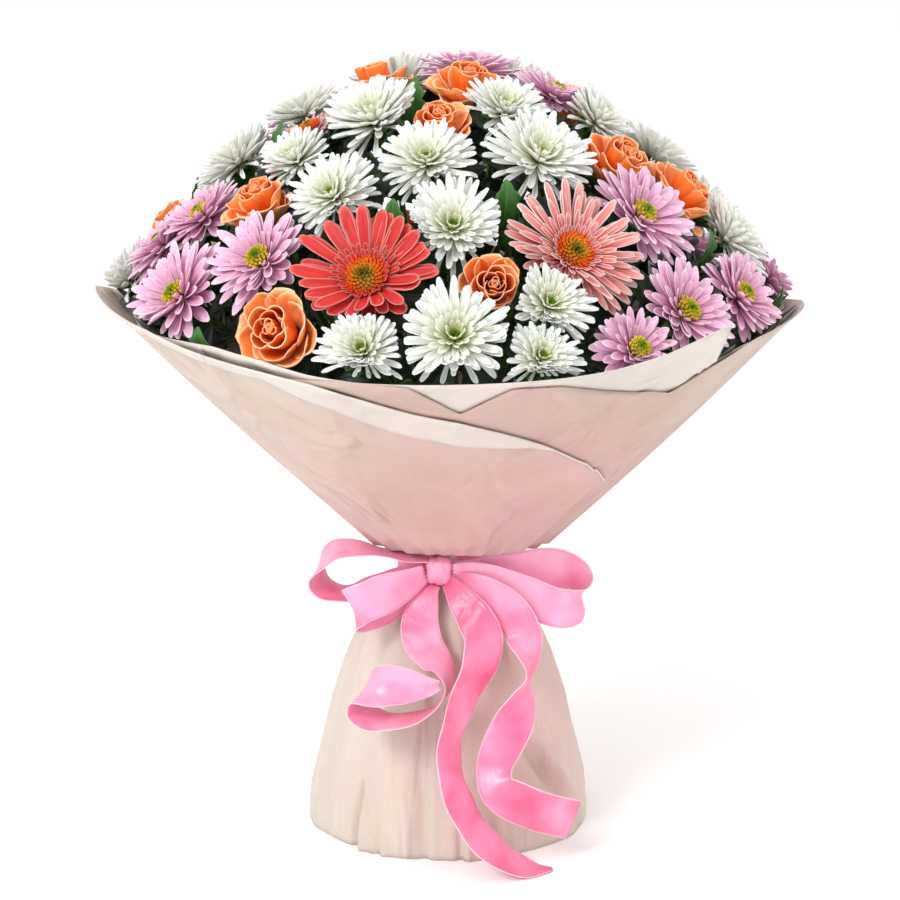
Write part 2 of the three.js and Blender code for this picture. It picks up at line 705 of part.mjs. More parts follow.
// Routes of the loops and the tails, each station [place], [from edge to edge], width. The
// middle tail ends flat on the surface.
const LOOP_LEFT_FRONT = [
  [[-15.4, -46.6, 191.5], [0, 0, 1], 12],
  [[-27, -55, 187], [-0.3, 0, 1], 21],
  [[-42, -62, 181], [-0.4, 0, 1], 28],
  [[-57, -67, 175], [-0.4, 0, 1], RIBBON_WIDTH],
  [[-67, -66, 171], [-0.4, 0, 1], RIBBON_WIDTH],
  [[-70, -60, 170], [-0.4, 0, 1], RIBBON_WIDTH],
  [[-64, -53, 172], [-0.4, 0, 1], RIBBON_WIDTH],
  [[-46, -48.5, 179], [-0.4, 0, 1], 28],
  [[-28, -45.5, 187], [-0.3, 0, 1], 21],
  [[-15.5, -42.3, 192.5], [0, 0, 1], 12],
];
const LOOP_LEFT_REAR = [
  [[-13.5, -42, 200.3], [0, 1, 0.2], 10],
  [[-26, -42, 202.2], [0, 1, 0.1], 16],
  [[-42, -42, 204.9], [0, 1, 0], 22],
  [[-62, -40, 207.6], [0, 1, 0.1], 26],
  [[-80, -38, 204], [0, 1, 0.3], RIBBON_WIDTH],
  [[-90, -36, 191], [0.3, 1, 0.4], RIBBON_WIDTH],
  [[-85, -34, 178], [0.3, 1, 0.2], 26],
  [[-68, -31, 172], [0, 1, 0.3], 22],
  [[-48, -31, 177], [0, 0.5, 1], 18],
  [[-32, -34, 185], [0, 0, 1], 15],
  [[-19, -38.5, 190], [0, 0, 1], 11],
];
const LOOP_RIGHT = [
  [[2.9, -44.5, 192.5], [0, 0, 1], 12],
  [[15, -47.5, 193], [0.1, 0, 1], 18],
  [[32, -51, 191], [0.2, 0, 1], 26],
  [[55, -56, 187], [0.3, 0, 1], 33],
  [[78, -58, 183], [0.3, 0, 1], 34],
  [[91, -55, 181], [0.3, 0, 1], 32],
  [[93, -49, 181], [0.3, 0, 1], 31],
  [[80, -44, 185], [0.3, 0, 1], 31],
  [[50, -42, 191], [0.2, 0, 1], 28],
  [[22, -42, 193], [0.1, 0, 1], 18],
  [[2.9, -41.2, 192.5], [0, 0, 1], 12],
];
const TAIL_LEFT = [
  [[-8.5, -43.5, 182.5], [1, 0, 0], 7],
  [[-11.5, -47, 180], [1, 0, 0], 10],
  [[-15, -53, 174], [1, 0, 0.2], 16],
  [[-19, -60, 163], [1, 0, 0.1], 24],
  [[-18, -68, 151], [1, 0.2, 0.4], 26],
  [[-12, -77, 142], [1, 0.6, 0.6], 24],
  [[-7, -86, 133], [0.6, 1, 0.3], 22],
  [[-6, -97, 122], [0.2, 1, -0.2], 22],
  [[-16, -103, 112], [0, 1, 0], 24],
  [[-34, -100, 105], [0, 1, 0.1], 26],
  [[-54, -94, 104], [0, 1, 0.3], 28],
  [[-66, -89, 112], [0.3, 1, 0.4], RIBBON_WIDTH],
  [[-62, -90, 124], [0.8, 0.6, 0.6], RIBBON_WIDTH],
  [[-46, -95, 133], [0.4, 0.3, 1], RIBBON_WIDTH],
  [[-28, -100, 134], [0.2, 0.2, 1], 26],
  [[-15, -102, 132], [0, 0.6, 1], 18],
];
const TAIL_MIDDLE = [
  [[-0.5, -46, 185.7], [0.8, 0, 0.6], 8],
  [[3, -51.5, 183.5], [0.8, 0, 0.6], 11],
  [[8, -61, 178], [0.8, 0, 0.5], 16],
  [[18, -72, 168], [1, 0, 0.4], 26],
  [[24, -78, 155], [1, 0, 0.1], RIBBON_WIDTH],
  [[21, -85, 140], [1, 0, -0.2], RIBBON_WIDTH],
  [[13, -92, 124], [1, 0, -0.3], 29],
  [[6, -99, 108], [1, 0, -0.2], 27],
  [[1, -106, 90], [1, 0, 0], 26],
  [[2, -112, 70], [1, 0, 0.2], 25],
  [[9, -115, 50], [1, 0, 0.4], 25],
  [[20, -117, 31], [1, 0.2, 0.7], 25],
  [[34, -116, 15], [0.6, 0.5, 0.6], 24],
  [[48, -112, 4.5], [0.2, 1, 0.2], 23],
  [[58, -108, 0.8], [0.4, 1, 0], 22],
  [[68, -103, 0.45], [0.4, 1, 0], 20],
];
const TAIL_RIGHT = [
  [[4.6, -46.5, 188.7], [0.4, 0, 0.9], 6],
  [[15, -53, 187.5], [0.4, 0, 0.9], 12],
  [[28, -58.5, 182], [0.7, 0, 0.8], 20],
  [[41, -64, 172], [0.9, 0, 0.5], 25],
  [[50, -69, 158], [1, 0, 0.2], 26],
  [[53, -76, 143], [0.7, 0.7, 0], 22],
  [[52, -84, 130], [0.2, 1, 0], 20],
  [[48, -90, 117], [0.8, 0.6, -0.4], 24],
  [[43, -95, 103], [1, 0, -0.4], 28],
  [[36, -100, 88], [1, -0.1, -0.3], 28],
  [[31, -104, 75], [1, 0, 0.2], 24],
  [[33, -112, 63], [0.6, 0.2, 1], 25],
  [[46, -114, 56], [0.2, 0.1, 1], 28],
  [[66, -103, 51], [0, 0, 1], RIBBON_WIDTH],
  [[87, -86, 46], [0, 0, 1], 31],
];

function ribbon(route) {
  const places = route.map(([place]) => V(...place));
  const grid = (lift) =>
    route.map(([, edgeToEdge, width], i) => {
      const before = places[Math.max(i - 1, 0)];
      const after = places[Math.min(i + 1, places.length - 1)];
      const run = after.clone().sub(before).normalize();
      const across = V(...edgeToEdge);
      across.addScaledVector(run, -across.dot(run)).normalize();
      const face = run.clone().cross(across).multiplyScalar(lift);
      const lowest = face.z > 0 ? RIBBON_THICKNESS : 0;
      const edge = (side) => {
        const p = places[i].clone().addScaledVector(across, side).add(face);
        return p.setZ(Math.max(p.z, lowest));
      };
      return [edge(-width / 2), edge(width / 2)];
    });
  return sheet(grid(RIBBON_THICKNESS / 2), grid(-RIBBON_THICKNESS / 2));
}

// ---------------------------------------------------------------- assembly

const bouquet = new THREE.Group();

const placed = Object.entries(HEADS).flatMap(([name, rows]) =>
  rows.map((row, i) => ({
    name: `${name}_${String(i + 1).padStart(2, "0")}`,
    group: name,
    kind: kindOf(name),
    heads: row.map(placeHead),
  })),
);
const shoots = SHOOTS.map(([tilt, round, length]) => ({
  tilt, round, length, radius: 12, ray: direction(tilt, round),
}));

// Walls to every head and sprig near by, apart from heads of the same node.
const NEAR = 95; // mm between centres
const occupied = [...placed.map((p) => p.heads), ...shoots.map((s) => [s])];
for (const own of occupied)
  for (const head of own)
    head.walls = occupied
      .filter((other) => other !== own)
      .flat()
      .filter((other) => head.ray.distanceTo(other.ray) * 290 < NEAR)
      .map((other) => wallBetween(head, other));

// A petal of each head points at its fellow in the spray, and they cross half-way.
for (const { heads } of placed)
  heads.forEach((head, i) => {
    head.start = radians(head.round);
    if (heads.length < 2) return;
    const fellow = heads[i ? i - 1 : 1];
    const to = fellow.centre.clone().add(head.centre).multiplyScalar(0.5).sub(head.centre);
    to.addScaledVector(head.axis.clone().add(fellow.axis).normalize(), 2);
    const [across, along] = [to.dot(head.across), to.dot(head.along)];
    head.start = Math.atan2(along, across);
    head.meets = [Math.hypot(across, along), to.dot(head.axis)];
  });

for (const { name, group, kind, heads } of placed) {
  const made = fuse(heads.map(BUILD_HEAD[kind]));
  bouquet.add(node(name, geometryOf(made), MATERIAL[group]));
  if (kind !== "gerbera") continue;
  const discName = name.replace("gerbera", "gerbera_disc");
  bouquet.add(node(discName, gerberaDisc(heads[0]), MATERIAL.gerbera_disc));
}

const stems = fuse([
  boundWaist(),
  ...placed.flatMap(({ heads, kind }) => stemsOf(heads, kind)),
  ...shoots.flatMap(shoot),
]);
bouquet.add(node("stems_and_leaves", geometryOf(stems), MATERIAL.green));

const tieInner = BUNDLE_RADIUS + SEAT_GAP;
bouquet.add(
  node(
    "stem_tie",
    ring(
      tieInner, tieInner + TIE_THICKNESS,
      BINDING_HEIGHT - TIE_HEIGHT / 2, BINDING_HEIGHT + TIE_HEIGHT / 2,
      BUNDLE_SIDES,
    ),
    MATERIAL.tie,
  ),
);

bouquet.add(node("wrap_liner", funnelSheet(-180, 165, 0, LINER_EDGE), MATERIAL.liner));
bouquet.add(node("wrap_right_sheet", funnelSheet(-75, 210, 1, RIGHT_EDGE), MATERIAL.paper));
bouquet.add(node("wrap_left_sheet", funnelSheet(-210, 45, 2, LEFT_EDGE), MATERIAL.paper));
bouquet.add(node("wrap_skirt", skirt(), MATERIAL.paper));

const band = ring(BAND_INNER, BAND_OUTER, BAND_BOTTOM, BAND_TOP);
bouquet.add(node("ribbon_band", band, MATERIAL.ribbon));
bouquet.add(node("ribbon_knot", knot(), MATERIAL.ribbon));
bouquet.add(node("ribbon_loop_left_front", ribbon(LOOP_LEFT_FRONT), MATERIAL.ribbon));
bouquet.add(node("ribbon_loop_left_rear", ribbon(LOOP_LEFT_REAR), MATERIAL.ribbon));
bouquet.add(node("ribbon_loop_right", ribbon(LOOP_RIGHT), MATERIAL.ribbon));
bouquet.add(node("ribbon_tail_left", ribbon(TAIL_LEFT), MATERIAL.ribbon));
bouquet.add(node("ribbon_tail_middle", ribbon(TAIL_MIDDLE), MATERIAL.ribbon));
bouquet.add(node("ribbon_tail_right", ribbon(TAIL_RIGHT), MATERIAL.ribbon));

export default bouquet;
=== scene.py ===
# The look of a hand-tied mixed bouquet: chrysanthemums, roses and gerberas over leafy stems, in a
# funnel of soft fibre paper with a paper skirt, tied with a satin ribbon bow. Metres, Z up. The
# bouquet stands on z = 0 and its front faces -Y.
#
# Heads are placed as the solids are: by tilt from the vertical at the binding point and by the
# angle round from the front. Every petal is a copy of one modelled petal, raised, shortened or
# pressed back where a neighbouring head or the paper is in its way.

import math
import random
from types import SimpleNamespace

import bpy
import numpy as np
from mathutils import Matrix, Vector


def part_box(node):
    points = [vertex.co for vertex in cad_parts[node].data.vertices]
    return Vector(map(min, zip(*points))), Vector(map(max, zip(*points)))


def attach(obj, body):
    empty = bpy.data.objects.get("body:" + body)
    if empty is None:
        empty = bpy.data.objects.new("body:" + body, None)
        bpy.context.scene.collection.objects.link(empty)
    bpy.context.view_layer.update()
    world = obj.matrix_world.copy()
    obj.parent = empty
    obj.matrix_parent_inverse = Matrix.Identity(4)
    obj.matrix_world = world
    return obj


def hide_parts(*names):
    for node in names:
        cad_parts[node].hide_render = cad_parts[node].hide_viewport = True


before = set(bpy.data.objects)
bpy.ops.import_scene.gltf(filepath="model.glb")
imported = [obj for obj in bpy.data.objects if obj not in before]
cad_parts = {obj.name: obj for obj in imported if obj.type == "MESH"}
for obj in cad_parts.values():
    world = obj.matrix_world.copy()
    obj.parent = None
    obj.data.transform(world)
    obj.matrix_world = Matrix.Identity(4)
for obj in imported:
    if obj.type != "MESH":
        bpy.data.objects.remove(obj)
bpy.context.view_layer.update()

MM = 0.001
chance = random.Random(7)

# ------------------------------------------------------------------ measures

# The dome is round over its top and falls to its rim, and the heads' middles are sunk below it.
DOME_TOP = 0.540
DOME_RIM = 0.377
DOME_RADIUS = 0.232
HEAD_SINK = 0.017
BINDING = Vector((0, 0, 0.205))
WALL_GAP = 0.0004  # a petal keeps this far from the wall to its neighbour
PAPER_CLEARANCE = 0.0035  # and this far above the paper
COLLAR_BASE = 0.0014  # leaves on the paper lie in the layer below that
COLLAR_DEPTH = 0.0017
HEAD_DISTANCE = 0.29  # about as far as the heads are from the binding point
NEAR = 0.095  # heads farther apart than this need no wall between them

BUNDLE_RADIUS = 0.0225
BUNDLE_TOP = 0.236
STEMS_PART = BUNDLE_TOP - 0.006
STEM_ROOM = 0.85 * BUNDLE_RADIUS
FOOT_RADIUS = 0.058
FOOT_TWIST = 35  # the stems cross in the bundle and splay below it, turned by that
BRANCH_AT = 0.62  # the share of the way to its first head where a spray forks
WIDEST_TILT = 55

NECK_BOTTOM = 0.188
NECK_TOP = 0.206
# Radius and height of the funnel's foot, and of its rim in front and at the sides.
FUNNEL_FOOT = (0.058, 0.213)
FUNNEL_RIM = (0.230, 0.366)
SIDE_RIM = (0.222, 0.372)
FUNNEL_ASIDE = 0.007  # it stands that far to the right of the bound stems
LAYER_PITCH = 0.0018  # from one sheet to the next
BUNDLE_CLEARANCE = 0.0028
PAPER = 0.0005

RIBBON = 0.028
SATIN_THICKNESS = 0.0004
BAND_RADIUS = 0.0349
BAND_FOOT, BAND_TOP = 0.179, 0.201

# Each row is one node, a head or a spray of heads: [tilt, angle round, radius in mm, nod].
HEADS = {
    "white_chrysanthemum": [
        [[17, -30, 35, 0]],
        [[25, -48, 25, 0], [30, -28, 28, 4]],
        [[18, -84, 28, -6], [28, -85, 30, -4]],
        [[24, -6, 29, 6], [34, 1, 31, 6]],
        [[15, 26, 28, 4], [24, 27, 34, 4]],
        [[19, 74, 27, 14]],
        [[41, 78, 30, 0]],
        [[49, 1, 35, 4], [51, -13, 27, 0]],
        [[45, 17, 27, 4], [52, 14, 24, 0]],
        [[50, -88, 30, 0]],
        [[29, 104, 32, 0], [40, 107, 31, 0]],
        [[14, 150, 34, 0], [14, -154, 34, 0]],
        [[39, 176, 32, 0], [50, 180, 32, 0]],
        [[50, -134, 32, 0], [50, -152, 32, 0]],
        [[33, -114, 32, 0]],
    ],
    "lilac_chrysanthemum": [
        [[42, -77, 28, -4], [36, -67, 28, -6]],
        [[47, -54, 35, 2], [40, -38, 33, 2]],
        [[4, 140, 33, -4]],
        [[13, 78, 27, 4]],
        [[34, 47, 34, 2], [48, 43, 33, 2], [52, 30, 26, 0]],
        [[48, 61, 32, 2]],
        [[51, 94, 31, 0]],
        [[40, 150, 32, 0], [50, 144, 32, 0], [50, 127, 32, 0]],
        [[25, 148, 32, 0]],
        [[39, -138, 32, 0], [28, -142, 31, 0], [22, -122, 30, 0]],
        [[48, -109, 32, 0]],
    ],
    "orange_rose": [
        [[32, -49, 25, -16]],
        [[49, -28, 28, 16]],
        [[42, 8, 22, 16]],
        [[17, -3, 23, 4]],
        [[7, 20, 24, 6]],
        [[9, -104, 24, 0]],
        [[26, 56, 27, 6], [33, 73, 29, 6]],
        [[51, 162, 27, 0]],
        [[41, -98, 27, 0]],
        [[51, -169, 27, 0]],
        [[18, 112, 25, 0]],
    ],
    "gerbera": [
        [[41, -15, 49, 6]],
        [[38, 25, 48, 6]],
        [[20, -56, 21, 0]],
        [[28, -176, 43, 0]],
    ],
}
# Leafy shoots: [tilt, angle round, length of the leaf in mm].
SHOOTS = [
    [23, -68, 40], [11, -22, 36], [53, -41, 42], [52, 77, 40], [41, 62, 38], [36, -95, 42],
    [45, 165, 40], [43, -122, 42], [23, 124, 40], [34, -158, 38], [33, -12, 38], [30, 14, 36],
    [36, 128, 42],
]

# ------------------------------------------------------------------ placing heads


def direction(tilt, around):
    """The way from the binding point to what is tilted so far from the vertical."""
    t, a = math.radians(tilt), math.radians(around)
    return Vector((math.sin(t) * math.sin(a), -math.sin(t) * math.cos(a), math.cos(t)))


def level_across(around):
    """The level line at right angles to the way a head at that angle leans."""
    return Vector((math.cos(math.radians(around)), math.sin(math.radians(around)), 0))


def dome_distance(tilt):
    """How far out the middle of a head is, where the way to it meets the sunk dome."""
    s, c = math.sin(math.radians(tilt)), math.cos(math.radians(tilt))
    bend = (DOME_TOP - DOME_RIM) * s * s / DOME_RADIUS**2
    height = DOME_TOP - HEAD_SINK - BINDING.z
    return (math.sqrt(c * c + 4 * bend * height) - c) / (2 * bend)


def place_head(row, kind):
    """A head that faces out of the dome, tipped by its nod. Its stand puts parts in place."""
    tilt, around, radius, nod = row
    ray = direction(tilt, around)
    centre = BINDING + ray * dome_distance(tilt)
    slope = 2 * (DOME_TOP - DOME_RIM) * math.hypot(centre.x, centre.y) / DOME_RADIUS**2
    axis = direction(math.degrees(math.atan(slope)) + nod, around)
    across = level_across(around)
    basis = Matrix((across, axis.cross(across), axis)).transposed().to_4x4()
    return SimpleNamespace(
        ray=ray, centre=centre, axis=axis, radius=radius * MM, tilt=tilt, around=around,
        kind=kind, stand=Matrix.Translation(centre) @ basis,
    )


def wall_between(a, b):
    """The normal towards a of a wall through the binding point, which parts a and b by size."""
    middle = (a.ray * b.radius + b.ray * a.radius).normalized()
    normal = a.ray - b.ray
    return (normal - middle * normal.dot(middle)).normalized()


def rim_at(around):
    """Radius and height of the funnel's plain rim, which is drawn up steeper at the sides."""
    side = np.sin(np.radians(around)) ** 2
    return [front + side * (aside - front) for front, aside in zip(FUNNEL_RIM, SIDE_RIM)]


def paper_height(points):
    """Height of the inner paper under each point."""
    x, y = points[:, 0] - FUNNEL_ASIDE, points[:, 1]
    r0, z0 = FUNNEL_FOOT
    r1, z1 = rim_at(np.degrees(np.arctan2(x, -y)))
    return z0 + (np.hypot(x, y) - r0) * (z1 - z0) / (r1 - r0)


def is_free(points, head):
    """Whether the points are clear of the walls to the neighbours and of the paper."""
    beyond = (points - np.array(BINDING)) @ head.walls.T
    if beyond.min() < WALL_GAP:
        return False
    return bool((points[:, 2] > paper_height(points) + PAPER_CLEARANCE).all())


def press_back(points, head, soft=0.0014):
    """What is past a wall or the paper is pressed back, closer and closer to it."""
    for normal in head.walls:
        beyond = (points - np.array(BINDING)) @ normal - WALL_GAP
        points += (soft * np.logaddexp(0, beyond / soft) - beyond)[:, None] * normal
    above = points[:, 2] - paper_height(points) - PAPER_CLEARANCE
    points[:, 2] += soft * np.logaddexp(0, above / soft) - above
    return points


sprays = [
    SimpleNamespace(
        node=f"{name}_{i + 1:02d}", kind=name, heads=[place_head(row, name) for row in rows]
    )
    for name, table in HEADS.items()
    for i, rows in enumerate(table)
]
shoots = [
    SimpleNamespace(ray=direction(t, a), radius=0.012, tilt=t, around=a, length=length * MM)
    for t, a, length in SHOOTS
]
heads = [head for spray in sprays for head in spray.heads]
everyone = heads + shoots
for one in everyone:
    one.walls = np.array([
        wall_between(one, other)
        for other in everyone
        if other is not one and (one.ray - other.ray).length * HEAD_DISTANCE < NEAR
    ])

# ------------------------------------------------------------------ modelling tools


def deselect():
    bpy.ops.object.select_all(action="DESELECT")


def points_of(piece):
    """The piece's points as rows of x, y and z."""
    points = np.empty(len(piece.data.vertices) * 3)
    piece.data.vertices.foreach_get("co", points)
    return points.reshape(-1, 3)


def set_points(piece, points):
    piece.data.vertices.foreach_set("co", np.ascontiguousarray(points, dtype=float).ravel())
    piece.data.update()


def choose(piece, chosen):
    """Selects those vertices of the piece, ready for an edit-mode operator."""
    mesh = piece.data
    picked = np.zeros(len(mesh.vertices), dtype=bool)
    picked[list(chosen)] = True
    mesh.edges.foreach_set("select", np.zeros(len(mesh.edges), dtype=bool))
    mesh.polygons.foreach_set("select", np.zeros(len(mesh.polygons), dtype=bool))
    mesh.vertices.foreach_set("select", picked)


def edit(piece, chosen, operator, **settings):
    """Runs an edit-mode operator on those vertices."""
    choose(piece, chosen)
    bpy.ops.object.mode_set(mode="EDIT")
    operator(**settings)
    bpy.ops.object.mode_set(mode="OBJECT")


def finish_with(piece, kind, **settings):
    """Adds a modifier with those settings and applies it."""
    modifier = piece.modifiers.new(kind.title(), kind)
    for key, value in settings.items():
        setattr(modifier, key, value)
    deselect()
    piece.select_set(True)
    bpy.context.view_layer.objects.active = piece
    bpy.ops.object.modifier_apply(modifier=modifier.name)


def smooth_shaded(piece):
    """Its facets shaded as one rounded surface."""
    deselect()
    piece.select_set(True)
    bpy.ops.object.shade_smooth()


def join(pieces, name):
    """One piece made of several, under that name."""
    deselect()
    for piece in pieces:
        piece.select_set(True)
    bpy.context.view_layer.objects.active = pieces[0]
    if len(pieces) > 1:
        bpy.ops.object.join()
    pieces[0].name = name
    pieces[0].data.name = name
    return pieces[0]


def marked(piece, **marks):
    """Stores a number on every point of the piece, which its material reads."""
    for name, value in marks.items():
        layer = piece.data.attributes.get(name) or piece.data.attributes.new(name, "FLOAT", "POINT")
        layer.data.foreach_set("value", np.full(len(piece.data.vertices), float(value)))
    return piece


def copy_of(pattern, matrix, **marks):
    """A copy with a mesh of its own, in its place and marked."""
    piece = pattern.copy()
    piece.data = pattern.data.copy()
    bpy.context.collection.objects.link(piece)
    piece.data.transform(matrix)
    return marked(piece, **marks)


def blade(name, outline, length, width, thickness, roll=(), curl=(), across=4):
    """A petal or leaf that lies along +X from its root. outline holds [place along, share of the
    width] for each row, roll turns the columns up from the middle to the edges and curl turns
    the rows up from the root to the tip, in degrees."""
    rows, columns = len(outline), across + 1
    grid = np.arange(rows * columns).reshape(columns, rows)
    deselect()
    bpy.ops.mesh.primitive_grid_add(x_subdivisions=rows - 1, y_subdivisions=across, size=1)
    piece = bpy.context.object
    piece.name = name
    move, turn = bpy.ops.transform.translate, bpy.ops.transform.rotate
    for i, (along, share) in enumerate(outline):
        flat = i / (rows - 1) - 0.5
        edit(piece, grid[:, i], bpy.ops.transform.resize,
             value=(1, share * width, 1), center_override=(flat, 0, 0))
        edit(piece, grid[:, i], move, value=(along * length - flat, 0, 0))
    middle = across // 2
    for step, angle in enumerate(roll):
        for side in (-1, 1):
            hinge = middle + side * step
            outer = range(hinge + side, columns if side > 0 else -1, side)
            if outer:
                at = points_of(piece)[grid[hinge]].mean(0)
                edit(piece, grid[list(outer)].ravel(), turn, value=math.radians(-side * angle),
                     orient_axis="X", center_override=(0, at[1], at[2]))
    for i, angle in enumerate(curl):
        if angle:
            at = points_of(piece)[grid[middle, i]]
            edit(piece, grid[:, i + 1:].ravel(), turn, value=math.radians(angle),
                 orient_axis="Y", center_override=tuple(at))
    finish_with(piece, "SOLIDIFY", thickness=thickness, offset=0)
    smooth_shaded(piece)
    marked(piece, tint=0, inner=0)
    piece["length"], piece["width"] = length, width
    # A few points at the tip and along the outer half are tried where the petal may go.
    points = points_of(piece)
    order = np.argsort(points[:, 0])
    tried = [*order[-3:], *order[len(order) // 2:: max(1, len(order) // 6)]]
    piece["samples"] = points[tried].ravel().tolist()
    return piece


# ------------------------------------------------------------------ materials


def paint(code):
    """An sRGB hex colour as linear RGBA."""
    part = [int(code[i:i + 2], 16) / 255 for i in (0, 2, 4)]
    return [c / 12.92 if c <= 0.04045 else ((c + 0.055) / 1.055) ** 2.4 for c in part] + [1]


def feed(tree, node, links):
    """Gives each input a value or the output that feeds it."""
    for key, value in links.items():
        if isinstance(value, bpy.types.NodeSocket):
            tree.links.new(value, node.inputs[key])
        else:
            node.inputs[key].default_value = value


def add(tree, kind, links=None, stops=(), **settings):
    """Adds one node with its settings and what feeds it, and for a colour ramp its stops."""
    node = tree.nodes.new(kind)
    for key, value in settings.items():
        setattr(node, key, value)
    feed(tree, node, links or {})
    for _ in stops[2:]:
        node.color_ramp.elements.new(0.5)
    for number, (place, code) in enumerate(stops):
        mark = node.color_ramp.elements[number]
        mark.position, mark.color = place, paint(code)
    return node


def new_material(name):
    """A new material with its node tree and its skin shader."""
    material = bpy.data.materials.new(name)
    material.use_nodes = True
    tree = material.node_tree
    return material, tree, tree.nodes["Principled BSDF"]


def own_map(tree):
    """The place on a piece's own map: along it, across it from 0 to 1, and aside of its middle."""
    uv = add(tree, "ShaderNodeUVMap", uv_map="UVMap")
    part = add(tree, "ShaderNodeSeparateXYZ", {"Vector": uv.outputs["UV"]})
    u, v = part.outputs["X"], part.outputs["Y"]
    aside = add(tree, "ShaderNodeMath", {0: v, 1: 0.5}, operation="SUBTRACT").outputs[0]
    aside = add(tree, "ShaderNodeMath", {0: aside}, operation="ABSOLUTE").outputs[0]
    return u, v, aside


def shaded(tree, colour, light):
    """The colour made lighter or darker by a number near 1."""
    grey = add(tree, "ShaderNodeCombineColor", {"Red": light, "Green": light, "Blue": light})
    return add(tree, "ShaderNodeMix", {0: 1.0, 6: colour, 7: grey.outputs[0]},
               data_type="RGBA", blend_type="MULTIPLY").outputs[2]


def petal_material(name, along, inner, edge, edge_share, ridges, show=0.4, rim=0.0, streaks=0.1,
                   relief=0.5, lit_through=0.12):
    """Living petals: a soft matt skin over moist tissue, which some light comes through. The
    colour changes from root to tip, the edges are thinner and paler, partly the petals' own
    colour and partly a painted highlight along their rims, and the innermost petals take on the
    colour of the middle. Fine ridges run from root to tip. They are 0.4 mm apart on a
    chrysanthemum petal, 1 mm on a gerbera petal and 4 mm on a rose petal."""
    material, tree, skin = new_material(name)
    u, v, aside = own_map(tree)
    inward = add(tree, "ShaderNodeAttribute", attribute_name="inner").outputs["Fac"]
    inward = add(tree, "ShaderNodeMath", {0: inward, 1: 3.2}, operation="POWER").outputs[0]
    tint = add(tree, "ShaderNodeAttribute", attribute_name="tint").outputs["Fac"]
    near_root = add(tree, "ShaderNodeMath", {0: 1.1, 1: u}, operation="SUBTRACT").outputs[0]
    depth = add(tree, "ShaderNodeMath", {0: inward, 1: near_root}, operation="MULTIPLY").outputs[0]
    colour = add(tree, "ShaderNodeValToRGB", {"Fac": u}, stops=along).outputs["Color"]
    colour = add(tree, "ShaderNodeMix", {0: depth, 6: colour, 7: paint(inner)},
                 data_type="RGBA").outputs[2]
    # Paler edges and tips: partly the petals' own colour, partly a painted highlight along the rims.
    border = add(tree, "ShaderNodeMapRange", {
        "Value": aside, "From Min": 0.5 - edge_share, "From Max": 0.5, "To Max": show,
    }, interpolation_type="SMOOTHSTEP").outputs["Result"]
    if rim:
        tip = add(tree, "ShaderNodeMapRange", {
            "Value": u, "From Min": 1 - rim, "From Max": 1, "To Max": show,
        }, interpolation_type="SMOOTHSTEP").outputs["Result"]
        border = add(tree, "ShaderNodeMath", {0: border, 1: tip}, operation="MAXIMUM").outputs[0]
    colour = add(tree, "ShaderNodeMix", {0: border, 6: colour, 7: paint(edge)},
                 data_type="RGBA").outputs[2]
    stretch = add(tree, "ShaderNodeCombineXYZ", {"X": u, "Y": v, "Z": tint})
    spread = add(tree, "ShaderNodeVectorMath", {0: stretch.outputs[0], 1: (2, ridges, 9)},
                 operation="MULTIPLY").outputs[0]
    streak = add(tree, "ShaderNodeTexNoise", {"Vector": spread, "Scale": 1.6, "Detail": 3})
    light = add(tree, "ShaderNodeMapRange", {
        "Value": streak.outputs["Fac"], "From Min": 0.3, "From Max": 0.7,
        "To Min": 0.98 - streaks, "To Max": 0.98 + streaks,
    }).outputs["Result"]
    shade = add(tree, "ShaderNodeMath", {0: tint, 1: 0.07}, operation="MULTIPLY").outputs[0]
    light = add(tree, "ShaderNodeMath", {0: light, 1: shade}, operation="ADD").outputs[0]
    bump = add(tree, "ShaderNodeBump", {
        "Height": streak.outputs["Fac"], "Strength": relief, "Distance": 0.0007,
    })
    feed(tree, skin, {
        "Base Color": shaded(tree, colour, light), "Normal": bump.outputs["Normal"],
        "Roughness": 0.5, "Specular IOR Level": 0.35, "Subsurface Weight": lit_through,
        "Subsurface Radius": (1.0, 0.7, 0.6), "Subsurface Scale": 0.002,
    })
    return material


WHITE_PETAL = petal_material(
    "White chrysanthemum petal",
    [(0, "cdd488"), (0.16, "eceecb"), (0.4, "f8f9f0"), (1, "ffffff")],
    "c9d158", "ffffff", 0.12, 9, streaks=0.05, lit_through=0.4)
# The pale edges and tips of the lilac, coral and rose petals are mostly a painted highlight; the
# pink gerbera's white tips are its own colour.
LILAC_PETAL = petal_material(
    "Lilac chrysanthemum petal",
    [(0, "ca70a6"), (0.25, "df98c0"), (0.6, "edb8d6"), (1, "fadeed")],
    "d898b6", "ffeaf5", 0.1, 8, show=0.5, rim=0.1, streaks=0.16)
CORAL_PETAL = petal_material(
    "Coral gerbera petal",
    [(0, "b4120e"), (0.3, "c62523"), (0.7, "d43c39"), (1, "ea7c75")],
    "c62714", "f8bcb1", 0.14, 5, show=0.45, rim=0.05, streaks=0.3, relief=1.0)
PINK_PETAL = petal_material(
    "Pink gerbera petal",
    [(0, "d8372f"), (0.25, "df625b"), (0.6, "e28f88"), (1, "f3cac3")],
    "d83a28", "ffffff", 0.16, 5, show=0.7, rim=0.1, streaks=0.24, relief=0.9)
ROSE_PETAL = petal_material(
    "Orange rose petal",
    [(0, "dc4608"), (0.45, "ec6a1a"), (0.8, "f6893a"), (1, "fda860")],
    "dc4608", "ffe2c2", 0.06, 4, show=0.55, rim=0.06, streaks=0.16)
ROSE_HEART = petal_material(
    "Deep orange inner rose petal",
    [(0, "c83604"), (0.5, "de4c0c"), (0.85, "ee6a20"), (1, "f68a42")],
    "c83604", "ffd6a8", 0.05, 4, show=0.5, rim=0.04, streaks=0.16)
ROSE_GUARD = petal_material(
    "Peach outer rose petal",
    [(0, "e08444"), (0.4, "fa9c52"), (0.8, "ffb372"), (1, "ffcb9a")],
    "f08440", "fde3cb", 0.05, 4, show=0.28, rim=0.05, streaks=0.12)


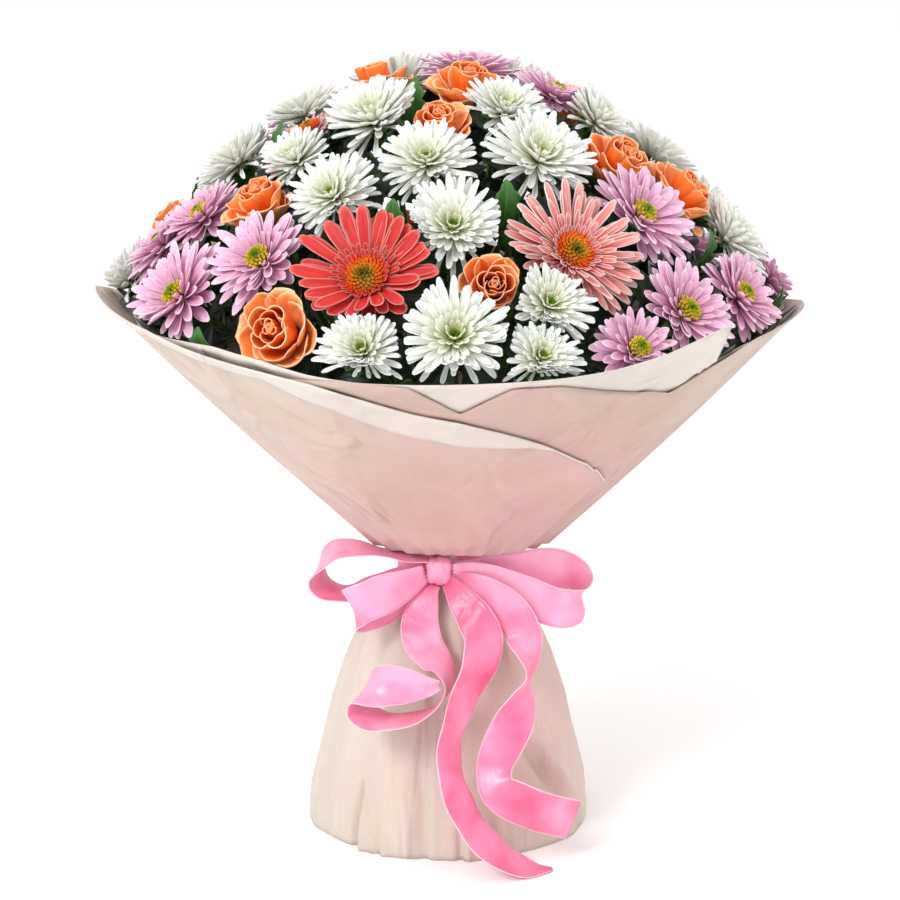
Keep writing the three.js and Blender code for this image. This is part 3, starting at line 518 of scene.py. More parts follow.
def floret_material(name, stops):
    """Packed florets, waxy and a little translucent: the colour changes from the rim of the
    disc to its middle."""
    material, tree, skin = new_material(name)
    inward = add(tree, "ShaderNodeAttribute", attribute_name="inner").outputs["Fac"]
    tint = add(tree, "ShaderNodeAttribute", attribute_name="tint").outputs["Fac"]
    shift = add(tree, "ShaderNodeMath", {0: tint, 1: 0.05, 2: inward}, operation="MULTIPLY_ADD")
    colour = add(tree, "ShaderNodeValToRGB", {"Fac": shift.outputs[0]}, stops=stops)
    feed(tree, skin, {
        "Base Color": colour.outputs["Color"], "Roughness": 0.5, "Subsurface Weight": 0.1,
        "Subsurface Scale": 0.001,
    })
    return material


GREEN_EYE = floret_material(
    "Green chrysanthemum eye", [(0, "d2d65a"), (0.4, "a9c22f"), (0.75, "6fa01f"), (1, "5b8f1a")])
YELLOW_EYE = floret_material(
    "Yellow and green chrysanthemum eye",
    [(0, "ecd562"), (0.4, "d6c636"), (0.65, "8fae24"), (1, "3f7a14")])
GERBERA_EYE = floret_material(
    "Gerbera disc florets",
    [(0, "ea4f18"), (0.3, "f08024"), (0.55, "dca02a"), (0.8, "8f8420"), (1, "4a4416")])


def leaf_material(name, blade_colour, vein_colour):
    """Chrysanthemum leaves: waxy, dark, cloudy in patches of 17 mm, with a pale midrib and side
    veins that branch from it 6 to 7 mm apart."""
    material, tree, skin = new_material(name)
    u, _, aside = own_map(tree)
    rib = add(tree, "ShaderNodeMapRange", {
        "Value": aside, "From Min": 0.012, "From Max": 0.05, "To Min": 1, "To Max": 0,
    }).outputs["Result"]
    slant = add(tree, "ShaderNodeMath", {0: aside, 1: -0.9, 2: u}, operation="MULTIPLY_ADD")
    comb = add(tree, "ShaderNodeMath", {0: slant.outputs[0], 1: 40}, operation="MULTIPLY")
    comb = add(tree, "ShaderNodeMath", {0: comb.outputs[0]}, operation="SINE").outputs[0]
    side = add(tree, "ShaderNodeMapRange", {
        "Value": comb, "From Min": 0.86, "From Max": 1, "To Max": 0.7,
    }).outputs["Result"]
    vein = add(tree, "ShaderNodeMath", {0: rib, 1: side}, operation="MAXIMUM").outputs[0]
    place = add(tree, "ShaderNodeTexCoord").outputs["Object"]
    patch = add(tree, "ShaderNodeTexNoise", {"Vector": place, "Scale": 60, "Detail": 3})
    dark, pale = paint(blade_colour), paint(vein_colour)
    green = add(tree, "ShaderNodeMix", {0: patch.outputs["Fac"], 6: dark, 7: pale},
                data_type="RGBA").outputs[2]
    green = add(tree, "ShaderNodeMix", {0: 0.6, 6: dark, 7: green}, data_type="RGBA").outputs[2]
    green = add(tree, "ShaderNodeMix", {0: vein, 6: green, 7: pale}, data_type="RGBA").outputs[2]
    bump = add(tree, "ShaderNodeBump", {"Height": vein, "Strength": 0.4, "Distance": 0.0006},
               invert=True)
    feed(tree, skin, {"Base Color": green, "Normal": bump.outputs["Normal"], "Roughness": 0.42})
    return material


# The leaves under the heads and on the paper take this near-black green: their own dark green
# deepened as painted shade for the gaps between the heads.
LEAF_WITH_PAINTED_SHADE = leaf_material("Dark green leaf with painted shade", "0f240b", "22421a")
BRIGHT_LEAF = leaf_material("Bright green leaf", "24591a", "4f8a38")


def stem_material():
    """Green stems: waxy, with paler grooves along them, about 1 mm wide and 17 mm long."""
    material, tree, skin = new_material("Green flower stem")
    place = add(tree, "ShaderNodeTexCoord").outputs["Object"]
    long = add(tree, "ShaderNodeMapping", {"Vector": place, "Scale": (900, 900, 60)})
    groove = add(tree, "ShaderNodeTexNoise", {"Vector": long.outputs[0], "Scale": 1, "Detail": 2})
    green = add(tree, "ShaderNodeValToRGB", {"Fac": groove.outputs["Fac"]},
                stops=[(0.3, "39601f"), (0.7, "6b8f3c")])
    bump = add(tree, "ShaderNodeBump", {
        "Height": groove.outputs["Fac"], "Strength": 0.3, "Distance": 0.0004,
    })
    feed(tree, skin, {
        "Base Color": green.outputs["Color"], "Normal": bump.outputs["Normal"], "Roughness": 0.5,
    })
    return material


STEM = stem_material()


def paper_material(name, cream, pink, heart, reach, crumples):
    """Soft wrapping paper of long matted fibres: matt, cloudy over 110 mm, with faint fibres
    lying all ways and a blush of pink, strongest at its heart (x, z) and gone a reach away from
    it. It is crumpled a little from handling, with so many crumples to the metre each way, and
    its colour is a little darker in the crumples' hollows: painted shade."""
    material, tree, skin = new_material(name)
    place = add(tree, "ShaderNodeTexCoord").outputs["Object"]
    cloud = add(tree, "ShaderNodeTexNoise", {"Vector": place, "Scale": 9, "Detail": 4,
                                             "Roughness": 0.55}).outputs["Fac"]
    seen = add(tree, "ShaderNodeMapping", {"Vector": place, "Scale": (1, 0, 1)}).outputs[0]
    away = add(tree, "ShaderNodeVectorMath", {0: seen, 1: (heart[0], 0, heart[1])},
               operation="DISTANCE").outputs["Value"]
    near = add(tree, "ShaderNodeMapRange", {
        "Value": away, "From Min": 0, "From Max": reach, "To Min": 0.62, "To Max": 0,
    }, interpolation_type="SMOOTHSTEP").outputs["Result"]
    blush = add(tree, "ShaderNodeMath", {0: cloud, 1: 0.8, 2: near},
                operation="MULTIPLY_ADD").outputs[0]
    colour = add(tree, "ShaderNodeValToRGB", {"Fac": blush}, stops=[(0.3, cream), (1.0, pink)])
    fibres = []
    # Fibres are 0.1 mm wide in fact, and are drawn about 0.5 mm wide so that they show.
    for turn, size in ((0.5, (2000, 160, 160)), (1.3, (160, 1900, 200)), (2.2, (180, 160, 2100))):
        lay = add(tree, "ShaderNodeMapping", {"Vector": place, "Rotation": (turn, turn, turn),
                                              "Scale": size})
        fibres.append(add(tree, "ShaderNodeTexNoise", {
            "Vector": lay.outputs[0], "Scale": 1, "Detail": 2}).outputs["Fac"])
    felt = add(tree, "ShaderNodeMath", {0: fibres[0], 1: fibres[1]}, operation="ADD").outputs[0]
    felt = add(tree, "ShaderNodeMath", {0: felt, 1: fibres[2]}, operation="ADD").outputs[0]
    light = add(tree, "ShaderNodeMapRange", {
        "Value": felt, "From Min": 1.1, "From Max": 1.9, "To Min": 0.955, "To Max": 1.03,
    }).outputs["Result"]
    lay = add(tree, "ShaderNodeMapping", {"Vector": place, "Scale": crumples})
    crumple = add(tree, "ShaderNodeTexNoise", {
        "Vector": lay.outputs[0], "Scale": 1, "Detail": 2, "Distortion": 0.9}).outputs["Fac"]
    # The crumples darken the colour a little in their hollows: painted shade.
    painted_crumple_shade = add(tree, "ShaderNodeMapRange", {
        "Value": crumple, "From Min": 0.3, "From Max": 0.6, "To Min": 0.93, "To Max": 1.02,
    }).outputs["Result"]
    light = add(tree, "ShaderNodeMath", {0: light, 1: painted_crumple_shade}, operation="MULTIPLY").outputs[0]
    bump = add(tree, "ShaderNodeBump", {
        "Height": crumple, "Strength": 1.0, "Distance": 0.27 / crumples[0],
    })
    bump = add(tree, "ShaderNodeBump", {
        "Height": felt, "Strength": 0.14, "Distance": 0.0004, "Normal": bump.outputs["Normal"],
    })
    feed(tree, skin, {
        "Base Color": shaded(tree, colour.outputs["Color"], light),
        "Normal": bump.outputs["Normal"], "Roughness": 0.88, "Specular IOR Level": 0.2,
        "Sheen Weight": 0.15,
    })
    return material


CREASED = (17, 17, 8)  # about 60 mm wide and 125 mm high, as in a funnel drawn in by hand
PINCHED = (30, 30, 5)  # about 33 mm wide and 200 mm high, down from the gathers of the skirt
OUTER_PAPER = paper_material(
    "Blush fibre paper", "cfbfb1", "cea6a1", (0.035, 0.25), 0.21, CREASED)
# The right sheet's paper is the blush paper made darker and greyer: painted shade for the side of
# the funnel away from the key light.
RIGHT_PAPER = paper_material(
    "Blush fibre paper with painted shade", "c4b3a5", "c79f99", (0.035, 0.25), 0.21, CREASED)
INNER_PAPER = paper_material(
    "White fibre paper", "dad5cd", "d6c9c0", (0.03, 0.25), 0.3, CREASED)
SKIRT_PAPER = paper_material(
    "Ivory fibre paper", "d2c7bb", "d4b4ad", (0.10, 0.11), 0.13, PINCHED)


def ribbon_material():
    """Polyester satin: bright threads along the ribbon give a soft broad shine, its pink is
    lightened in clouds over 36 mm and by each part's tint, a painted sheen, and the woven
    selvedges, 0.7 mm wide, are pale."""
    material, tree, skin = new_material("Pink satin ribbon")
    u, v, aside = own_map(tree)
    edge = add(tree, "ShaderNodeMapRange", {
        "Value": aside, "From Min": 0.468, "From Max": 0.482,
    }).outputs["Result"]
    place = add(tree, "ShaderNodeTexCoord").outputs["Object"]
    # Painted sheen: noise clouds and each part's tint lighten the pink towards a pale highlight
    # pink.
    cloud = add(tree, "ShaderNodeTexNoise", {"Vector": place, "Scale": 28, "Detail": 2})
    tint = add(tree, "ShaderNodeAttribute", attribute_name="tint").outputs["Fac"]
    cloud = add(tree, "ShaderNodeMath", {0: cloud.outputs["Fac"], 1: tint}).outputs[0]
    pink = add(tree, "ShaderNodeValToRGB", {"Fac": cloud},
               stops=[(0.3, "ee5684"), (0.5, "f57ba5"), (0.72, "f9a6c9")]).outputs["Color"]
    colour = add(tree, "ShaderNodeMix", {0: edge, 6: pink, 7: paint("fdcfdf")}, data_type="RGBA")
    # The real threads are 0.1 mm apart, and are drawn 0.6 mm apart so that they show.
    thread = add(tree, "ShaderNodeCombineXYZ", {"X": u, "Y": v})
    thread = add(tree, "ShaderNodeVectorMath", {0: thread.outputs[0], 1: (40, 50, 1)},
                 operation="MULTIPLY").outputs[0]
    weave = add(tree, "ShaderNodeTexNoise", {"Vector": thread, "Scale": 1, "Detail": 2})
    bump = add(tree, "ShaderNodeBump", {
        "Height": weave.outputs["Fac"], "Strength": 0.25, "Distance": 0.0003,
    })
    # Soft crumples, 12 mm across, where the ribbon was pulled and tied.
    crumple = add(tree, "ShaderNodeTexNoise", {"Vector": place, "Scale": 85, "Detail": 2,
                                               "Distortion": 1.2})
    bump = add(tree, "ShaderNodeBump", {
        "Height": crumple.outputs["Fac"], "Strength": 0.45, "Distance": 0.0016,
        "Normal": bump.outputs["Normal"],
    })
    feed(tree, skin, {
        "Base Color": colour.outputs[2], "Normal": bump.outputs["Normal"], "Roughness": 0.32,
        "Specular IOR Level": 0.75, "Sheen Weight": 0.35, "Sheen Tint": paint("ffd5e5"),
    })
    return material


SATIN = ribbon_material()


def twine_material():
    """Raffia twine round the stems: dry and matt, in strands about 1 mm wide."""
    material, tree, skin = new_material("Raffia tie")
    place = add(tree, "ShaderNodeTexCoord").outputs["Object"]
    wound = add(tree, "ShaderNodeMapping", {"Vector": place, "Scale": (60, 60, 900)})
    strand = add(tree, "ShaderNodeTexNoise", {"Vector": wound.outputs[0], "Scale": 1, "Detail": 3})
    straw = add(tree, "ShaderNodeValToRGB", {"Fac": strand.outputs["Fac"]},
                stops=[(0.3, "9c7f4e"), (0.7, "c9ad7a")])
    bump = add(tree, "ShaderNodeBump", {"Height": strand.outputs["Fac"], "Distance": 0.0006})
    feed(tree, skin, {
        "Base Color": straw.outputs["Color"], "Normal": bump.outputs["Normal"], "Roughness": 0.8,
    })
    return material


def finished(piece, node, material=None):
    """Hides the solid that the piece stands for, hangs the piece under the root body, and gives it
    the material if one is passed.
    """
    if material:
        piece.data.materials.append(material)
    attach(piece, "root")
    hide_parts(node)


# ------------------------------------------------------------------ petals, modelled once

NARROW = blade(
    "narrow_petal", [[0, 0.34], [0.2, 0.6], [0.45, 0.88], [0.7, 1], [0.86, 0.92], [0.95, 0.66],
                     [1, 0.3]],
    0.024, 0.0056, 0.00042, roll=(14, 26), curl=(-3, 2, 3, 4, 6, 8))
SPOON = blade(
    "spoon_petal", [[0, 0.4], [0.25, 0.44], [0.5, 0.5], [0.7, 0.8], [0.84, 1], [0.94, 0.8],
                    [1, 0.36]],
    0.024, 0.0056, 0.00042, roll=(26, 40), curl=(2, 0, -4, -6, 4, 14))
BROAD = blade(
    "broad_petal", [[0, 0.3], [0.18, 0.55], [0.4, 0.85], [0.65, 1], [0.84, 0.86], [0.95, 0.48],
                    [1, 0.16]],
    0.026, 0.0085, 0.00045, roll=(10, 18), curl=(-4, 2, 2, 3, 4, 4))
STRAP = blade(
    "strap_petal", [[0, 0.42], [0.15, 0.6], [0.4, 0.85], [0.7, 1], [0.88, 0.86], [0.97, 0.5],
                    [1, 0.24]],
    0.035, 0.0082, 0.00055, roll=(8, 14), curl=(-6, 1, 2, 2, 1, -2))
CUPPED = blade(
    "cupped_rose_petal", [[0, 0.3], [0.16, 0.62], [0.38, 0.9], [0.6, 1], [0.8, 0.96], [0.93, 0.74],
                          [1, 0.46]],
    0.026, 0.026, 0.0006, roll=(8, 17, 18), curl=(-22, -12, 6, 8, 2, -14), across=6)
WRAPPED = blade(
    "wrapped_rose_petal", [[0, 0.4], [0.2, 0.7], [0.45, 0.95], [0.7, 1], [0.88, 0.94],
                           [0.97, 0.8], [1, 0.66]],
    0.024, 0.022, 0.0006, roll=(12, 26, 30), curl=(-10, 2, 6, 4, 0, -8), across=6)
BUD = blade(
    "bud_rose_petal", [[0, 0.5], [0.25, 0.8], [0.5, 1], [0.75, 1], [0.92, 0.92], [1, 0.78]],
    0.022, 0.022, 0.0006, roll=(26, 54, 56), curl=(0, 3, 4, 2, -6), across=6)
LOBED_LEAF = blade(
    "lobed_leaf",
    [[0, 0.06], [0.1, 0.14], [0.2, 0.5], [0.3, 0.92], [0.36, 0.6], [0.46, 0.86], [0.56, 1],
     [0.61, 0.6], [0.7, 0.78], [0.78, 0.66], [0.83, 0.4], [0.92, 0.3], [1, 0.04]],
    0.042, 0.027, 0.0004, roll=(14, 10), curl=(6, -3, -3, -3, -4, -4, -4, -4, -5, -5, -6, -6))
POINTED_LEAF = blade(
    "pointed_leaf",
    [[0, 0.05], [0.12, 0.3], [0.3, 0.8], [0.45, 1], [0.6, 0.94], [0.75, 0.7], [0.9, 0.34],
     [1, 0.03]],
    0.040, 0.017, 0.0004, roll=(16, 10), curl=(4, -3, -4, -4, -5, -5, -6))


def floret_pattern(name, radius, height):
    """A tiny open tube with five sides."""
    deselect()
    bpy.ops.mesh.primitive_cone_add(
        vertices=5, radius1=radius * 0.6, radius2=radius, depth=height, location=(0, 0, height / 2))
    piece = bpy.context.object
    piece.name = name
    bpy.ops.object.transform_apply(location=True)
    top = np.flatnonzero(points_of(piece)[:, 2] > height * 0.9)
    choose(piece, top)
    bpy.ops.object.mode_set(mode="EDIT")
    bpy.ops.mesh.inset(thickness=radius * 0.4)
    bpy.ops.transform.translate(value=(0, 0, -height * 0.3))
    bpy.ops.object.mode_set(mode="OBJECT")
    return marked(piece, tint=0, inner=0)


FLORET = floret_pattern("floret", 0.0007, 0.003)


def calyx_pattern():
    """The green cup under a head, with short bracts that hug the petals."""
    deselect()
    bpy.ops.mesh.primitive_cone_add(
        vertices=12, radius1=0.0022, radius2=0.0075, depth=0.008, location=(0, 0, -0.004))
    cup = bpy.context.object
    bpy.ops.object.transform_apply(location=True)
    choose(cup, range(len(cup.data.vertices)))
    bpy.ops.object.mode_set(mode="EDIT")
    bpy.ops.mesh.bevel(offset=0.0012, segments=2, affect="EDGES")
    bpy.ops.object.mode_set(mode="OBJECT")
    bract = blade("bract", [[0, 0.7], [0.4, 1], [0.8, 0.6], [1, 0.15]], 0.010, 0.0042, 0.0005,
                  roll=(12,), curl=(0, -12, -10), across=2)
    ring = [
        copy_of(bract, Matrix.Rotation(math.tau * k / 11, 4, "Z")
                @ Matrix.Translation((0.0058, 0, -0.003)) @ Matrix.Rotation(-0.7, 4, "Y"),
                tint=0, inner=0)
        for k in range(11)
    ]
    bpy.data.objects.remove(bract)
    return marked(join([cup, *ring], "calyx"), tint=0, inner=0)


CALYX = calyx_pattern()
PATTERNS = [NARROW, SPOON, BROAD, STRAP, CUPPED, WRAPPED, BUD, LOBED_LEAF, POINTED_LEAF, FLORET,
            CALYX]

# ------------------------------------------------------------------ flower heads

# Whorls from the outside in: pattern, count, root radius, root height in mm, rise in degrees,
# length and width. Radius, length and width are shares of the head's radius.
WHORLS = {
    "white_chrysanthemum": [
        (SPOON, 18, 0.10, -1.5, -4, 0.94, 0.165),
        (NARROW, 22, 0.10, 0, 8, 0.92, 0.165),
        (NARROW, 21, 0.09, 1, 19, 0.86, 0.155),
        (NARROW, 21, 0.08, 2, 31, 0.74, 0.155),
        (NARROW, 19, 0.07, 3, 44, 0.60, 0.14),
        (NARROW, 16, 0.06, 3.5, 57, 0.46, 0.12),
        (NARROW, 9, 0.045, 4, 70, 0.32, 0.10),
    ],
    "lilac_chrysanthemum": [
        (BROAD, 17, 0.17, -1, -3, 0.88, 0.25),
        (BROAD, 17, 0.17, 0.3, 9, 0.84, 0.235),
        (BROAD, 15, 0.18, 1.3, 21, 0.72, 0.22),
        (BROAD, 13, 0.19, 2.2, 34, 0.55, 0.19),
        (NARROW, 12, 0.21, 3, 48, 0.34, 0.13),
    ],
    "coral_gerbera": [
        (STRAP, 19, 0.20, -0.5, 2, 0.80, 0.19),
        (STRAP, 17, 0.19, 0.8, 10, 0.75, 0.175),
        (NARROW, 30, 0.19, 1.6, 20, 0.27, 0.07),
        (NARROW, 30, 0.18, 2.4, 38, 0.19, 0.06),
    ],
    "pink_gerbera": [
        (STRAP, 24, 0.20, -0.5, 1, 0.80, 0.13),
        (STRAP, 22, 0.19, 0.6, 8, 0.74, 0.12),
        (STRAP, 22, 0.19, 1.4, 16, 0.58, 0.10),
        (NARROW, 30, 0.18, 2.0, 26, 0.36, 0.07),
        (NARROW, 30, 0.18, 2.6, 42, 0.20, 0.06),
    ],
}
# How far past its plain length a petal may grow where there is room. Chrysanthemum heads on the
# side of the dome are seen against dark leaves, and their petals fill the gaps between them.
REACH = {"gerbera": 1.05, "orange_rose": 1.05}
REACH_ON_TOP = 1.14
REACH_ASIDE = 1.2
ASIDE_TILT = 30
STEEPEST = 84
CORAL_GERBERAS = ("gerbera_01", "gerbera_04")


def fitted(pattern, head, turn, root, height, rise, length, width, marks):
    """One petal, as long as the room up to the neighbours lets it be, and raised if need be."""
    samples = np.array(pattern["samples"]).reshape(-1, 3)
    samples = np.hstack([samples, np.ones((len(samples), 1))])
    twist = Matrix.Rotation(math.radians(chance.uniform(-9, 9)), 4, "X")
    reach = REACH.get(head.kind, REACH_ON_TOP if head.tilt < ASIDE_TILT else REACH_ASIDE)
    for share in (reach, 1.05, 0.96, 0.88, 0.8, 0.72, 0.64, 0.56):
        for more in (0, 8) if share > 1 else (0, 8, 16, 24, 32):
            steep = min(rise + more, STEEPEST)
            size = Matrix.Diagonal((
                length * share / pattern["length"], width / pattern["width"],
                0.5 * (length * share / pattern["length"] + width / pattern["width"]), 1))
            matrix = (
                head.stand @ Matrix.Rotation(turn, 4, "Z") @ Matrix.Translation((root, 0, height))
                @ Matrix.Rotation(-math.radians(steep), 4, "Y") @ twist @ size)
            if is_free((samples @ np.array(matrix).T)[:, :3], head):
                return copy_of(pattern, matrix, **marks)
    return copy_of(pattern, matrix, **marks)


SPIRAL_TURN = 2.39996  # the golden angle, by which packed florets follow each other


def petals_of(head, whorls):
    """All petals of a head, whorl by whorl, each a little off its even place."""
    r = head.radius
    made = []
    for level, (pattern, count, root, height, rise, length, width) in enumerate(whorls):
        start = chance.random() * math.tau
        for k in range(count):
            made.append(fitted(
                pattern, head, start + math.tau * (k + chance.uniform(-0.22, 0.22)) / count,
                root * r, (height + chance.uniform(-0.4, 0.4)) * MM,
                rise + chance.uniform(-4, 4),
                length * r * chance.uniform(0.9, 1.04), width * r * chance.uniform(0.9, 1.1),
                {"tint": chance.uniform(-1, 1), "inner": level / (len(whorls) - 1)}))
    return made


def eye_of(head, radius, foot, rise, count, spread=0.5):
    """Florets packed in spirals on a low dome in the middle of a head."""
    made = []
    for k in range(count):
        share = math.sqrt((k + 0.5) / count)
        size = chance.uniform(1.15, 1.55)
        made.append(copy_of(
            FLORET,
            head.stand @ Matrix.Rotation(k * SPIRAL_TURN, 4, "Z")
            @ Matrix.Translation((share * radius, 0, foot + rise * (1 - share**2)))
            @ Matrix.Rotation(share * spread, 4, "Y") @ Matrix.Scale(size, 4),
            tint=chance.uniform(-1, 1), inner=1 - share))
    return made


def settled(pieces, head):
    """Joins the petals of a head and presses back what is still past a wall or the paper."""
    piece = join(pieces, "head")
    set_points(piece, press_back(points_of(piece), head))
    return piece


# Rose petals from the outside in: pattern, turn in degrees, root radius, root height in mm,
# rise, length and width. Radius, length and width are shares of the head's radius.
ROSE_PETALS = (
    [(CUPPED, k * 72 + 10, 0.16, -15, 46 + 3 * (k % 2), 1.06, 1.12) for k in range(5)]
    + [(CUPPED, k * 72 + 44, 0.14, -13.5, 59 + 3 * (k % 2), 1.02, 1.02) for k in range(5)]
    + [(WRAPPED, k * 90 + 20, 0.20, -11, 76, 0.92, 0.86) for k in range(4)]
    + [(WRAPPED, k * 90 + 66, 0.15, -10, 82, 0.88, 0.74) for k in range(4)]
    + [(BUD, k * 120 + 35, 0.15, -8, 86, 0.78, 0.62) for k in range(3)]
    + [(BUD, k * 120 + 95, 0.10, -7, 88, 0.74, 0.46) for k in range(3)]
    + [(BUD, k * 180 + 60, 0.055, -6, 90, 0.70, 0.28) for k in range(2)]
)
GUARD_PETALS = 7  # the outermost ones
OPEN_PETALS = 15  # up to here they stand open round the heart
ROSE_RADIUS = 0.025  # the head that the root heights are for


def rose_of(head):
    """The petals of a rose, each in the material of its place from guard to heart."""
    r = head.radius
    start = chance.uniform(0, 360)
    made = []
    for k, (pattern, turn, root, height, rise, length, width) in enumerate(ROSE_PETALS):
        petal = fitted(
            pattern, head, math.radians(start + turn + chance.uniform(-8, 8)),
            root * r, height * MM * r / ROSE_RADIUS, rise + chance.uniform(-3, 3),
            length * r * chance.uniform(0.95, 1.04), width * r * chance.uniform(0.95, 1.05),
            {"tint": chance.uniform(-1, 1), "inner": k / (len(ROSE_PETALS) - 1)})
        skin = ROSE_GUARD if k < GUARD_PETALS else ROSE_PETAL if k < OPEN_PETALS else ROSE_HEART
        petal.data.materials.append(skin)
        made.append(petal)
    return made


def coloured(pieces, material):
    for piece in pieces:
        piece.data.materials.append(material)
    return pieces


def build_blooms():
    """The flower heads: one piece for each spray, as its solid is."""
    for spray in sprays:
        parts = []
        for head in spray.heads:
            if spray.kind == "orange_rose":
                pieces = rose_of(head)
            elif spray.node in CORAL_GERBERAS:
                pieces = coloured(petals_of(head, WHORLS["coral_gerbera"]), CORAL_PETAL)
            elif spray.kind == "gerbera":
                pieces = coloured(petals_of(head, WHORLS["pink_gerbera"]), PINK_PETAL)
            elif spray.kind == "white_chrysanthemum":
                pieces = coloured(petals_of(head, WHORLS[spray.kind]), WHITE_PETAL)
                pieces += coloured(eye_of(head, 0.1 * head.radius, 0.004, 0.002, 19), GREEN_EYE)
            else:
                pieces = coloured(petals_of(head, WHORLS[spray.kind]), LILAC_PETAL)
                pieces += coloured(eye_of(head, 0.2 * head.radius, 0.004, 0.003, 48), YELLOW_EYE)
            parts.append(settled(pieces, head))
        finished(join(parts, spray.node + "_bloom"), spray.node)
        if spray.kind == "gerbera":
            head = spray.heads[0]
            disc = eye_of(head, 0.21 * head.radius, 0.0035, 0.0012, 110, spread=0.8)
            coloured(disc, GERBERA_EYE)
            node = spray.node.replace("gerbera", "gerbera_disc")
            finished(join(disc, node + "_florets"), node)


build_blooms()

# ------------------------------------------------------------------ stems and leaves


# How far the cup is below the middle of a head.
UNDERSIDE = {"white_chrysanthemum": 0.004, "lilac_chrysanthemum": 0.004, "orange_rose": 0.016,
             "gerbera": 0.004}
CUP_SIZE = {"orange_rose": 1.25, "gerbera": 1.5}
LEAVES_PER_HEAD = 8
# Rings of leaves on the paper: share of its slant from the foot, and how many leaves.
COLLAR_RINGS = ((0.90, 38), (0.77, 36), (0.62, 28), (0.46, 22))


def stem_place(room, tilt, around, z):
    """Where a stem is in a round of stems: the farther out, the more its head is tilted."""
    r = room * tilt / WIDEST_TILT
    a = math.radians(around)
    return Vector((r * math.sin(a), -r * math.cos(a), z))


def stem_routes():
    """Every stem as [points, radii], from its cut end or its fork to the cup of its head."""
    routes = []
    for spray in sprays:
        first = spray.heads[0]
        low = stem_place(STEM_ROOM, first.tilt, first.around, NECK_BOTTOM)
        high = stem_place(STEM_ROOM, first.tilt, first.around, STEMS_PART)
        for i, head in enumerate(spray.heads):
            neck = head.centre - head.axis * (UNDERSIDE[head.kind] + 0.007)
            below = neck - head.axis * 0.018
            if i == 0:
                middle = high.lerp(below, BRANCH_AT)
                foot = stem_place(FOOT_RADIUS, head.tilt, head.around + FOOT_TWIST, 0)
                points = [foot, foot.lerp(low, 0.5), low, high, middle, below, neck]
                radii = [2.6, 2.4, 2.2, 2.2, 2.1, 2.0, 1.9]
                fork = middle
            else:
                points = [fork, fork.lerp(below, 0.5), below, neck]
                radii = [1.9, 1.8, 1.8, 1.8]
            routes.append((points, [r * MM for r in radii]))
    for shoot in shoots:
        tip = BINDING + shoot.ray * (dome_distance(shoot.tilt) - 0.6 * shoot.length)
        start = stem_place(STEM_ROOM, shoot.tilt, shoot.around, STEMS_PART)
        routes.append(([start, start.lerp(tip, 0.5), tip], [0.0022, 0.0018, 0.0013]))
    return routes


def build_stems():
    """Stems, side stalks and cut ends, drawn as one set of tapered round lines."""
    curve = bpy.data.curves.new("stems", "CURVE")
    curve.dimensions = "3D"
    curve.bevel_depth = 1
    curve.bevel_resolution = 1
    curve.use_fill_caps = True
    for points, radii in stem_routes():
        spline = curve.splines.new("POLY")
        spline.points.add(len(points) - 1)
        for point, place, radius in zip(spline.points, points, radii):
            point.co = (*place, 1)
            point.radius = radius
    piece = bpy.data.objects.new("flower_stems", curve)
    bpy.context.collection.objects.link(piece)
    deselect()
    piece.select_set(True)
    bpy.context.view_layer.objects.active = piece
    bpy.ops.object.convert(target="MESH")
    points = points_of(piece)
    points[:, 2] = np.maximum(points[:, 2], 0)
    set_points(piece, points)
    smooth_shaded(piece)
    finished(piece, "stems_and_leaves", STEM)


def collar_leaves():
    """Leaves that lie flat on the inner paper, under the lowest heads."""
    made = []
    for ring, (share, count) in enumerate(COLLAR_RINGS):
        for k in range(count):
            around = 360 * (k + 0.5 * (ring % 2) + chance.uniform(-0.3, 0.3)) / count
            r1, z1 = rim_at(around)
            slope = math.atan2(z1 - FUNNEL_FOOT[1], r1 - FUNNEL_FOOT[0])
            r = FUNNEL_FOOT[0] + share * (r1 - FUNNEL_FOOT[0])
            z = FUNNEL_FOOT[1] + share * (z1 - FUNNEL_FOOT[1])
            matrix = (
                Matrix.Translation((FUNNEL_ASIDE, 0, z))
                @ Matrix.Rotation(math.radians(around - 90), 4, "Z")
                @ Matrix.Translation((r, 0, 0)) @ Matrix.Rotation(-slope, 4, "Y")
                @ Matrix.Rotation(chance.uniform(-0.5, 0.5), 4, "Z")
                @ Matrix.Scale(chance.uniform(0.85, 1.1), 4) @ Matrix.Translation((-0.02, 0, 0)))
            leaf = copy_of(LOBED_LEAF if k % 3 else POINTED_LEAF, matrix, tint=0, inner=0)
            points = points_of(leaf)
            above = points[:, 2] - paper_height(points)
            points[:, 2] += COLLAR_BASE + COLLAR_DEPTH / (1 + np.exp(-above / 0.004)) - above
            set_points(leaf, points)
            made.append(leaf)
    return made


